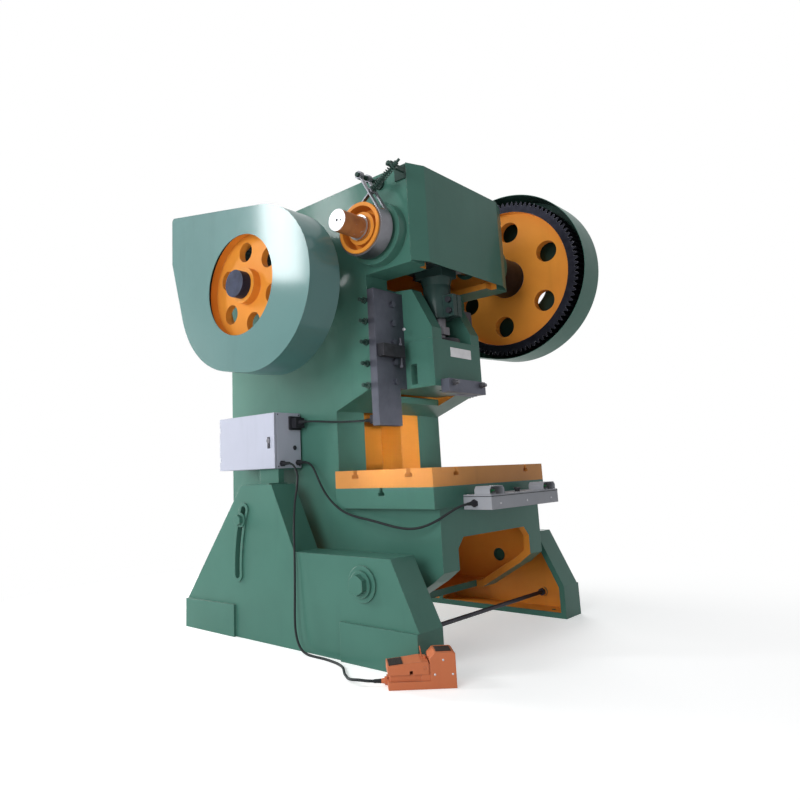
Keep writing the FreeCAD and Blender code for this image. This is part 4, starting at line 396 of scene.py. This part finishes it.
green = paint("green_enamel", GREEN, GREEN_DARK, roughness=0.30)
guard_green = paint("guard_enamel", (0.074, 0.176, 0.168), (0.056, 0.139, 0.132), 0.36, 0.40, 0.16)
deep_green = paint("deep_green_enamel", (0.022, 0.052, 0.042), (0.014, 0.034, 0.028), roughness=0.36)
orange = paint("orange_enamel", ORANGE, ORANGE_DARK)
bed_orange = paint("table_enamel", (0.64, 0.275, 0.072), (0.47, 0.18, 0.048))
grey = paint("pale_grey_enamel", (0.44, 0.45, 0.54), (0.38, 0.39, 0.47), roughness=0.40, coat=0.10)
console_grey = paint("console_enamel", (0.36, 0.365, 0.40), (0.30, 0.305, 0.34), roughness=0.42, coat=0.10)
switch_red = paint("red_orange_enamel", (0.56, 0.165, 0.070), (0.42, 0.12, 0.05), roughness=0.42)
frame_paint = two_paints("frame_enamel", frame_inside)
leg_paint = two_paints("leg_enamel", leg_inside)
gear_finish = wheel_finish("gear_finish", CRANK, GEAR_RIM_R, GEAR_HUB_R)
wheel_paint = wheel_finish("flywheel_finish", COUNTER, WHEEL_RIM_R, 0.0)
gear_cover = gear_cover_finish()
shaft_steel = shaft_finish()
navy_shaft = cast("navy_shaft_cap", (0.030, 0.036, 0.066), 0.56)
steel = metal("bright_steel", BARE)
band_steel = metal("band_steel", (0.20, 0.20, 0.22), 0.34)
gib_steel = metal("oiled_gib_steel", (0.110, 0.116, 0.145), 0.48, grain=(6, 1, 0.15))
screw_steel = metal("dark_screw_steel", (0.15, 0.15, 0.165), 0.42)
black_bolt = metal("black_oxide_steel", (0.055, 0.055, 0.066), 0.44)
iron = cast("black_casting", (0.050, 0.050, 0.058))
# a darkened green that paints the shade under the hood on the connecting rod and its cap
rod_green_shaded = paint("rod_enamel_shaded", (0.030, 0.062, 0.056), (0.020, 0.042, 0.040))
black = plastic("black_plastic", (0.022, 0.022, 0.027))
green_button = plastic("green_button_plastic", (0.03, 0.24, 0.09), 0.30)
black_button = plastic("black_button_plastic", (0.03, 0.03, 0.035), 0.30)
rubber = plastic("cable_rubber", (0.022, 0.026, 0.028), 0.50, 420.0)
belt_rubber = plastic("belt_rubber", (0.030, 0.028, 0.027), 0.65, 300.0)
motor_grey = paint("motor_enamel", (0.10, 0.13, 0.14), (0.075, 0.10, 0.11), roughness=0.42, coat=0.2)
bright_face = metal("machined_face", (0.86, 0.86, 0.87), 0.42, turned=CRANK, dirt=0.10)
tread = plastic("tread_rubber", (0.050, 0.040, 0.036), 0.70, 240.0)

FINISH = {
    "left_leg": leg_paint, "right_leg": leg_paint, "c_frame": frame_paint,
    "pivot_bolts": green, "tilt_lock_bolts": green, "front_tie_rod": black_bolt,
    "box_stand": green, "control_box": grey, "box_door": grey, "door_lock": screw_steel,
    "box_connector": black, "box_glands": black, "foot_switch": switch_red, "foot_pedal": switch_red,
    "bolster_plate": bed_orange, "front_hood": green, "crank_bushes": green, "countershaft_housings": green,
    "left_gib": gib_steel, "right_gib": gib_steel, "gib_bolts": gib_steel,
    "gib_adjusting_screws": deep_green, "knockout_brackets": iron, "knockout_screws": black_bolt,
    "crankshaft": shaft_steel, "stroke_sleeve": iron, "connecting_rod": rod_green_shaded, "rod_cap": rod_green_shaded,
    # the ball screw's dark steel paints the shade under the hood as well
    "rod_bolts": black_bolt, "ball_screw": screw_steel, "slide": green, "slide_cap": green,
    "ball_cap": iron, "die_clamp": gib_steel, "die_clamp_studs": screw_steel, "big_gear": gear_finish,
    "pinion": iron, "countershaft": navy_shaft, "flywheel": wheel_paint, "motor": motor_grey,
    "motor_plate": green, "motor_pulley": iron, "drive_belts": belt_rubber, "flywheel_guard": guard_green,
    "gear_guard": gear_cover, "guard_brackets": green, "brake_drum": orange, "brake_band": band_steel,
    "brake_bracket": deep_green, "brake_rod": deep_green, "console": console_grey, "console_plug": black,
    "left_palm_button": green_button, "right_palm_button": green_button, "stop_button": black_button,
    "slide_sensor": black,
}
for node_name, material in FINISH.items():
    data = nodes[node_name].data
    data.materials.clear()
    data.materials.append(material)


# ---- cables -------------------------------------------------------------------------------
SENSOR_ROUTE = [(-0.600, 0.062, 1.288), (-0.600, 0.020, 1.288), (-0.592, -0.032, 1.284),
                (-0.578, -0.088, 1.279), (-0.561, -0.146, 1.273), (-0.547, -0.206, 1.268),
                (-0.537, -0.264, 1.265), (-0.521, -0.322, 1.263), (-0.505, -0.372, 1.262),
                (-0.505, -0.418, 1.262)]
CONSOLE_ROUTE = [(-0.578, 0.100, 1.036), (-0.578, 0.056, 1.036), (-0.587, 0.012, 1.020),
                 (-0.597, -0.030, 0.984), (-0.607, -0.066, 0.936), (-0.614, -0.104, 0.884),
                 (-0.618, -0.148, 0.832), (-0.620, -0.202, 0.786), (-0.621, -0.262, 0.748),
                 (-0.621, -0.328, 0.724), (-0.621, -0.398, 0.708), (-0.621, -0.468, 0.698),
                 (-0.621, -0.538, 0.686), (-0.621, -0.608, 0.672), (-0.620, -0.676, 0.660),
                 (-0.618, -0.744, 0.653), (-0.610, -0.810, 0.657), (-0.590, -0.866, 0.674),
                 (-0.556, -0.904, 0.696), (-0.518, -0.938, 0.725), (-0.474, -0.970, 0.754),
                 (-0.426, -0.994, 0.771), (-0.374, -0.994, 0.771)]
SWITCH_ROUTE = [(-0.712, 0.100, 1.032), (-0.712, 0.058, 1.032), (-0.717, 0.018, 1.008),
                (-0.725, -0.012, 0.966), (-0.738, -0.026, 0.916), (-0.757, -0.034, 0.862),
                (-0.782, -0.046, 0.800), (-0.808, -0.066, 0.736), (-0.832, -0.088, 0.668),
                (-0.851, -0.108, 0.596), (-0.864, -0.122, 0.522), (-0.870, -0.128, 0.448),
                (-0.873, -0.129, 0.376), (-0.877, -0.131, 0.304), (-0.881, -0.132, 0.236),
                (-0.885, -0.134, 0.172), (-0.888, -0.140, 0.114), (-0.890, -0.158, 0.060),
                (-0.892, -0.190, 0.022), (-0.894, -0.234, 0.008), (-0.898, -0.292, 0.007),
                (-0.896, -0.356, 0.007), (-0.902, -0.412, 0.007), (-0.912, -0.464, 0.007),
                (-0.928, -0.514, 0.007), (-0.952, -0.558, 0.007), (-0.985, -0.595, 0.007),
                (-1.019, -0.630, 0.007), (-1.048, -0.671, 0.008), (-1.079, -0.710, 0.012),
                (-1.101, -0.757, 0.020), (-1.101, -0.806, 0.027)]


def switch_point(u, v, z):
    """A place on the foot switch, from its long axis u and its width v."""
    u -= SWITCH_BACK
    return (SWITCH_PLACE[0] + u * math.cos(SWITCH_TURN) - v * math.sin(SWITCH_TURN),
            SWITCH_PLACE[1] + u * math.sin(SWITCH_TURN) + v * math.cos(SWITCH_TURN), z)


def cable(name, route):
    """A cable on a smooth curve through its route, and the points of the curve's own line."""
    curve = bpy.data.curves.new(name, "CURVE")
    curve.dimensions = "3D"
    curve.resolution_u = 10
    spline = curve.splines.new("NURBS")
    spline.points.add(len(route) - 1)
    for point, place in zip(spline.points, route):
        point.co = (*place, 1.0)
    spline.order_u = 3
    spline.use_endpoint_u = True
    piece = bpy.data.objects.new(name, curve)
    bpy.context.scene.collection.objects.link(piece)
    line = bpy.data.meshes.new_from_object(piece)
    path = [vertex.co.copy() for vertex in line.vertices]
    bpy.data.meshes.remove(line)
    curve.bevel_depth = CABLE_D / 2.0
    curve.bevel_resolution = 5
    curve.use_fill_caps = True
    curve.materials.append(rubber)
    return piece, path


def as_mesh(piece):
    """The same cable as a mesh."""
    name = piece.name
    mesh = bpy.data.meshes.new_from_object(piece)
    curve = piece.data
    bpy.data.objects.remove(piece)
    bpy.data.curves.remove(curve)
    mesh.shade_smooth()
    tube = bpy.data.objects.new(name, mesh)
    bpy.context.scene.collection.objects.link(tube)
    return tube


def add_cable(name, node_name, route, bends=None):
    """A cable in place of its node: fixed to the base, or, where bends are given, left as a mesh on no
    body.
    """
    piece, path = cable(name, route)
    if bends:
        piece = as_mesh(piece)
        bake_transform(piece)
    else:
        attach(piece, "base")
    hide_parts(node_name)


add_cable("sensor_cable_run", "sensor_cable", SENSOR_ROUTE,
          bends=((-0.600, 0.020, 1.288), (-0.505, -0.400, 1.262)))
add_cable("console_cable_run", "console_cable", CONSOLE_ROUTE,
          bends=((-0.578, 0.056, 1.036), (-0.400, -0.994, 0.771)))
add_cable("switch_cable_run", "switch_cable",
          SWITCH_ROUTE + [switch_point(-0.080, 0, 0.024), switch_point(-0.030, 0, 0.024)])


# ---- mesh helpers -------------------------------------------------------------------------
def new_piece(name, mesh, material, body, slot, bevel=0.0):
    """An added piece that rides on a body."""
    piece = bpy.data.objects.new(name, mesh)
    bpy.context.scene.collection.objects.link(piece)
    mesh.materials.append(material)
    if bevel:
        modifier = piece.modifiers.new("round", "BEVEL")
        modifier.width = bevel
        modifier.segments = 3
        modifier.limit_method = "ANGLE"
    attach(piece, body)
    return piece


def block(bm, low, high, matrix=None):
    """Adds a box between two corners."""
    size = Vector(high) - Vector(low)
    centre = (Vector(high) + Vector(low)) / 2.0
    made = bmesh.ops.create_cube(bm, size=1.0)["verts"]
    bmesh.ops.scale(bm, vec=size, verts=made)
    bmesh.ops.translate(bm, vec=centre, verts=made)
    if matrix:
        bmesh.ops.transform(bm, matrix=matrix, verts=made)


def skin(bm, rings):
    """Closes rings of as many points each into one surface with two end faces."""
    sides = len(rings[0])
    for one, two in zip(rings, rings[1:]):
        for k in range(sides):
            n = (k + 1) % sides
            bm.faces.new((one[k], one[n], two[n], two[k]))
    bm.faces.new(rings[0][::-1])
    bm.faces.new(rings[-1])


def disc(bm, centre, direction, profile, segments):
    """Adds a turned shape: (radius, height) pairs along a direction from a centre."""
    turn = Vector((0, 0, 1)).rotation_difference(Vector(direction)).to_matrix().to_4x4()
    place = Matrix.Translation(centre) @ turn
    rings = []
    for radius, height in profile:
        ring = []
        for k in range(segments):
            a = 2.0 * math.pi * k / segments
            ring.append(bm.verts.new(place @ Vector((radius * math.cos(a), radius * math.sin(a), height))))
        rings.append(ring)
    skin(bm, rings)


def built(name, fill, *rest):
    """An added piece of the shapes that fill puts in it. What follows is as in new_piece."""
    bm = bmesh.new()
    fill(bm)
    bmesh.ops.recalc_face_normals(bm, faces=bm.faces)
    mesh = bpy.data.meshes.new(name)
    bm.to_mesh(mesh)
    bm.free()
    return new_piece(name, mesh, *rest)


def screw_head(bm, place, direction, radii, heights, segments):
    """A low domed head: three radii, and the heights of the upper two."""
    disc(bm, place, direction, list(zip(radii, (0.0, *heights))), segments)


# ---- brake spring -------------------------------------------------------------------------
def spring():
    """The brake's coil, wound smooth at an even pitch."""
    low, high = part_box("brake_spring")
    x = (low.x + high.x) / 2.0
    start, post = Vector((x, -0.668, 2.574)), Vector((x, -0.838, 2.668))
    heading = (post - start).normalized()
    reach = (post - start).length
    first, last = 0.0253, reach - 0.0033    # the coil's two ends on the line from start to post
    turn = Vector((0, 0, 1)).rotation_difference(heading).to_matrix()
    turns, radius, wire, steps, sides = 11, 0.018, 0.003, 24, 10
    bm = bmesh.new()
    count = turns * steps
    rings = []
    for i in range(count + 1):
        share = i / count
        a = 2.0 * math.pi * turns * share
        height = first + (last - first) * share
        out = Vector((math.cos(a), math.sin(a), 0.0))
        rings.append([bm.verts.new(start + turn @ (
            out * (radius + wire * math.cos(b)) + Vector((0, 0, height + wire * math.sin(b)))))
            for b in (2.0 * math.pi * j / sides for j in range(sides))])
    skin(bm, rings)
    for face in bm.faces:
        face.smooth = True
    mesh = bpy.data.meshes.new("brake_coil")
    bm.to_mesh(mesh)
    bm.free()
    piece = new_piece("brake_coil", mesh, deep_green, "frame", "bare_steel")
    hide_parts("brake_spring")


spring()


# ---- small finished pieces ----------------------------------------------------------------
def slide_details():
    """The bare plate riveted to the slide's front, and the set screw on each of its sides."""
    def plate(bm):
        block(bm, (-0.078, -0.7370, 1.641), (0.149, -0.7350, 1.701))
        for x in (-0.070, 0.141):
            for z in (1.648, 1.694):
                screw_head(bm, (x, -0.7370, z), (0, -1, 0), (0.0035, 0.0030, 0.0015), (0.0010, 0.0016), 12)
    built("slide_front_plate", plate, steel, "ram", "bare_steel", 0.0004)

    def screws(bm):
        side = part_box("slide_cap")[1].x
        for sign in (-1, 1):
            disc(bm, (sign * side, -0.584, 1.807), (sign, 0, 0),
                 [(0.011, 0.0), (0.011, 0.0020), (0.0100, 0.0026)], 32)
            disc(bm, (sign * (side + 0.0026), -0.584, 1.807), (sign, 0, 0),
                 [(0.0085, 0.0), (0.0085, 0.0055), (0.0070, 0.0068)], 6)
    built("slide_side_screws", screws, steel, "ram", "bare_steel", 0.0004)


def shaft_face():
    """The machined end of the crankshaft: a bright face with its centre drilling, and black discs that
    paint the shade in the drilling and in a dowel hole.
    """
    def fill(bm):
        disc(bm, (SHAFT_END_X, *CRANK), (-1, 0, 0),
             [(0.0615, 0.0), (0.0615, 0.0008), (0.0595, 0.0012), (0.0120, 0.0012), (0.0085, 0.0002)], 64)
    built("crank_end_face", fill, bright_face, "crank", "bare_steel")

    # painted shade: flat black discs just off the face stand for the insides of the two holes
    def holes(bm):
        x = SHAFT_END_X - 0.0013
        disc(bm, (x, *CRANK), (-1, 0, 0), [(0.0082, 0.0), (0.0070, 0.0003)], 24)
        disc(bm, (x, CRANK[0] - 0.030, CRANK[1] - 0.008), (-1, 0, 0),
             [(0.0060, 0.0), (0.0052, 0.0003)], 20)
    built("crank_end_hole_shade", holes, black_bolt, "crank", "bare_steel")


def boot(bm, place, direction, length, root):
    """A ribbed, tapered strain relief along a cable."""
    profile = [(root, 0.0)]
    ribs = 5
    for k in range(ribs):
        share = (k + 0.5) / ribs
        radius = root + (BOOT_TIP - root) * share
        at, half = length * (0.06 + 0.90 * share), length * 0.055    # a rib's middle and half its width
        profile += [(radius, at - half), (radius, at + half), (radius - 0.0012, at + half + 0.0003),
                    (radius - 0.0012, at + half + length * 0.05)]
    profile.append((BOOT_TIP - 0.0012, length))
    disc(bm, place, direction, profile, 28)


def strain_reliefs():
    """The boots where cables leave the box, the frame and the foot switch."""
    def on_box(bm):
        boot(bm, (-0.600, 0.064, 1.288), (0, -1, 0), 0.040, 0.0110)
        boot(bm, (-0.578, 0.102, 1.036), (0, -1, 0), 0.036, 0.0102)
        boot(bm, (-0.712, 0.102, 1.032), (0, -1, 0), 0.034, 0.0102)
    built("box_cable_boots", on_box, rubber, "base", "black_rubber")

    def on_frame(bm):
        boot(bm, (-0.505, -0.420, 1.262), (0, 1, 0), 0.034, 0.0110)
        boot(bm, (-0.372, -0.994, 0.771), (-1, 0, 0), 0.032, 0.0100)
    built("frame_cable_boots", on_frame, rubber, "frame", "black_rubber")

    def on_switch(bm):
        start = Vector(switch_point(-0.028, 0, 0.024))
        out = Vector(switch_point(-0.080, 0, 0.024)) - start
        boot(bm, start, out.normalized(), 0.036, 0.0098)
    built("switch_cable_boot", on_switch, rubber, "base", "black_rubber")


def box_details():
    """The lock's plate and key barrel on the door, and the earth bolt and corner screws on the box."""
    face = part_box("box_door")[0].x

    def lock(bm):
        block(bm, (face - 0.0012, 0.184, 1.128), (face + 0.0004, 0.210, 1.200))
        screw_head(bm, (face - 0.0012, 0.197, 1.145), (-1, 0, 0), (0.0105, 0.0105, 0.0090),
                   (0.0035, 0.0048), 28)
    built("door_lock_plate", lock, black_bolt, "box_door_body", "bare_steel", 0.0006)

    def bolts(bm):
        screw_head(bm, (-0.600, BOX_END_Y, 1.130), (0, -1, 0), (0.015, 0.015, 0.014), (0.002, 0.003), 28)
        screw_head(bm, (-0.600, BOX_END_Y - 0.003, 1.130), (0, -1, 0), (0.0095, 0.0095, 0.0080),
                   (0.007, 0.0085), 6)
        for x in (-0.738, -0.560):
            for z in (1.015, 1.338):
                screw_head(bm, (x, BOX_END_Y, z), (0, -1, 0), (0.0048, 0.0044, 0.0020),
                           (0.0018, 0.0028), 16)
    built("box_end_bolts", bolts, black_bolt, "base", "bare_steel")


def console_details():
    """The console's lid seal and the screws of its lid and front."""
    x0, x1, y0, y1, z0, z1 = -0.330, 0.430, -1.098, -0.922, 0.737, 0.816    # its six sides
    screw = (0.0052, 0.0048, 0.0022), (0.0018, 0.0030), 18

    def lip(bm):
        for low, high in (((x0 - 0.0022, y0 - 0.0022, z1 - 0.011), (x1 + 0.0022, y0, z1 - 0.008)),
                          ((x0 - 0.0022, y0, z1 - 0.011), (x0, y1 - 0.002, z1 - 0.008)),
                          ((x1, y0, z1 - 0.011), (x1 + 0.0022, y1 - 0.002, z1 - 0.008))):
            block(bm, low, high)
    built("console_lid_seal", lip, rubber, "frame", "black_rubber", 0.0005)

    def screws(bm):
        for x in (x0 + 0.014, x1 - 0.014):
            for y in (y0 + 0.014, y1 - 0.022):
                screw_head(bm, (x, y, z1), (0, 0, 1), *screw)
        for x in (x0 + 0.09, 0.05, x1 - 0.09):
            screw_head(bm, (x, y0, z0 + 0.030), (0, -1, 0), *screw)
    built("console_screws", screws, steel, "frame", "bare_steel")


SWITCH_FRAME = (Matrix.Translation((*SWITCH_PLACE, 0.0)) @ Matrix.Rotation(SWITCH_TURN, 4, "Z")
                @ Matrix.Translation((-SWITCH_BACK, 0.0, 0.0)))


def ribbed_pad(bm, start, end, half, matrix):
    """A rubber tread between two (u, z) points, with ribs across it."""
    run = Vector((end[0] - start[0], 0.0, end[1] - start[1]))
    lean = Matrix.Rotation(-math.atan2(run.z, run.x), 4, "Y")
    place = matrix @ Matrix.Translation((start[0], 0.0, start[1])) @ lean
    length = run.length
    block(bm, (0.0, -half, 0.0), (length, half, 0.0018), place)
    ribs = int(length / 0.0065)
    for k in range(ribs):
        u = (k + 0.5) * length / ribs
        block(bm, (u - 0.0018, -half + 0.002, 0.0016), (u + 0.0018, half - 0.002, 0.0040), place)


def switch_details():
    """The treads on the pedal and on the hood, and the hood's side screws."""
    def pedal_tread(bm):
        ribbed_pad(bm, (0.006, 0.1006), (0.070, 0.1068), 0.054, SWITCH_FRAME)
    built("pedal_tread", pedal_tread, tread, "foot_pedal_body", "black_rubber", 0.0004)

    def hood_tread(bm):
        ribbed_pad(bm, (0.222, 0.151), (0.292, 0.151), 0.042, SWITCH_FRAME)
    built("hood_tread", hood_tread, tread, "base", "black_rubber", 0.0004)

    def screws(bm):
        for u, z in ((0.210, 0.060), (0.290, 0.060), (0.250, 0.120)):
            for v in (-0.066, 0.066):
                out = SWITCH_FRAME.to_3x3() @ Vector((0, math.copysign(1.0, v), 0))
                screw_head(bm, SWITCH_FRAME @ Vector((u, v, z)), out, (0.0050, 0.0046, 0.0020),
                           (0.0016, 0.0026), 16)
    built("switch_screws", screws, steel, "base", "bare_steel")


def motor_fins():
    """The cooling fins cast along the motor's barrel, clear of its terminal box."""
    def fill(bm):
        for degrees in range(50, 360, 10):
            turn = Matrix.Translation((0.0, *MOTOR)) @ Matrix.Rotation(math.radians(degrees), 4, "X")
            block(bm, (-0.748, 0.133, -0.0016), (-0.432, 0.1475, 0.0016), turn)
    built("motor_fins", fill, motor_grey, "frame", "green_paint", 0.0008)


slide_details()
shaft_face()
strain_reliefs()
box_details()
console_details()
switch_details()
motor_fins()


# ---- floor, background and lamps ----------------------------------------------------------
def seen(tree):
    """1 for the rays that look, straight or by reflection, and 0 for those that light."""
    path = tree.nodes.new("ShaderNodeLightPath")
    value = path.outputs["Is Camera Ray"]
    for name in ("Is Glossy Ray", "Is Transmission Ray"):
        node = tree.nodes.new("ShaderNodeMath")
        node.operation = "MAXIMUM"
        tree.links.new(value, node.inputs[0])
        tree.links.new(path.outputs[name], node.inputs[1])
        value = node.outputs[0]
    return value


def emission(tree, strength):
    """White light of a strength."""
    node = tree.nodes.new("ShaderNodeEmission")
    node.inputs["Color"].default_value = (1, 1, 1, 1)
    node.inputs["Strength"].default_value = strength
    return node.outputs[0]


def joined(tree, kind, *sockets):
    """A node of a kind with its inputs linked in order."""
    node = tree.nodes.new(kind)
    for socket, place in zip(sockets, node.inputs):
        tree.links.new(socket, place)
    return node.outputs[0]


def floor_and_background():
    """A pale floor that keeps the press's shadow and fades to white further off."""
    reach, fade_from, fade_to = 30.0, 1.3, 3.4
    data = bpy.data.meshes.new("studio_floor")
    corners = [(reach * x, reach * y, 0) for x, y in ((-1, -1), (1, -1), (1, 1), (-1, 1))]
    data.from_pydata(corners, [], [(0, 1, 2, 3)])
    floor = bpy.data.objects.new("studio_floor", data)
    bpy.context.scene.collection.objects.link(floor)
    material = bpy.data.materials.new("studio_floor")
    material.use_nodes = True
    tree = material.node_tree
    shader = tree.nodes["Principled BSDF"]
    shader.inputs["Base Color"].default_value = (0.80, 0.80, 0.80, 1)
    shader.inputs["Roughness"].default_value = 0.75
    shader.inputs["Specular IOR Level"].default_value = 0.1
    distance = tree.nodes.new("ShaderNodeVectorMath")
    distance.operation = "LENGTH"
    tree.links.new(tree.nodes.new("ShaderNodeTexCoord").outputs["Object"], distance.inputs[0])
    far = tree.nodes.new("ShaderNodeMapRange")
    tree.links.new(distance.outputs["Value"], far.inputs["Value"])
    far.inputs["From Min"].default_value = fade_from
    far.inputs["From Max"].default_value = fade_to
    near = joined(tree, "ShaderNodeAddShader", shader.outputs[0], emission(tree, 0.38))
    shown = joined(tree, "ShaderNodeMixShader", far.outputs[0], near, emission(tree, 1.0))
    tree.links.new(joined(tree, "ShaderNodeMixShader", seen(tree), shader.outputs[0], shown),
                   tree.nodes["Material Output"].inputs["Surface"])
    data.materials.append(material)
    world = bpy.data.worlds.new("studio")
    bpy.context.scene.world = world
    world.use_nodes = True
    tree = world.node_tree
    light = tree.nodes["Background"]
    light.inputs["Color"].default_value = (0.93, 0.97, 1.0, 1)
    light.inputs["Strength"].default_value = 0.22
    plain = tree.nodes.new("ShaderNodeBackground")
    plain.inputs["Color"].default_value = (1, 1, 1, 1)
    tree.links.new(joined(tree, "ShaderNodeMixShader", seen(tree), light.outputs[0], plain.outputs[0]),
                   tree.nodes["World Output"].inputs["Surface"])


WIDE = 180.0                    # spread of a lamp that isn't a beam, in degrees
LAMPS = (                       # name, place, aim, width, height, watts, spread, colour
    ("window", (-4.9, 4.0, 4.65), (-0.9, -0.1, 1.8), 0.6, 1.7, 120.0, WIDE, (0.94, 0.98, 1.0)),
    ("fill_left", (-6.2, -1.2, 2.4), (0.0, -0.2, 1.3), 3.4, 2.6, 200.0, WIDE, (0.96, 0.99, 1.0)),
    ("fill_front", (-4.6, -3.8, 1.1), (0.0, 0.0, 1.3), 2.6, 1.6, 18.0, WIDE, (1.0, 0.98, 0.95)),
    ("throat_beam", (-4.8, -4.4, 0.9), (0.30, 0.10, 1.23), 0.2, 0.2, 1.1, 8.0, (0.95, 1.0, 1.0)),
    ("fill_right", (5.0, 2.5, 3.6), (0.0, 0.0, 1.4), 3.0, 2.6, 150.0, WIDE, (1.0, 1.0, 1.0)),
    ("back", (-1.3, 5.4, 2.0), (0.2, -0.2, 1.2), 2.4, 2.4, 340.0, WIDE, (1.0, 0.99, 0.97)),
    ("top", (-0.6, -0.4, 6.2), (0.0, 0.0, 1.0), 3.0, 3.0, 90.0, WIDE, (1.0, 1.0, 1.0)))


def lamps():
    """A tall window behind the left side, low fills that leave the front in soft shade, and a
    narrow beam into the throat."""
    for name, place, aim, wide, tall, power, spread, colour in LAMPS:
        lamp = bpy.data.lights.new(name, "AREA")
        lamp.shape = "RECTANGLE"
        lamp.size, lamp.size_y = wide, tall
        lamp.energy = power
        lamp.spread = math.radians(spread)
        lamp.color = colour
        holder = bpy.data.objects.new(name, lamp)
        bpy.context.scene.collection.objects.link(holder)
        holder.location = place
        holder.rotation_euler = (Vector(aim) - Vector(place)).to_track_quat("-Z", "Y").to_euler()


floor_and_background()
lamps()
bpy.context.scene.view_settings.view_transform = "Standard"
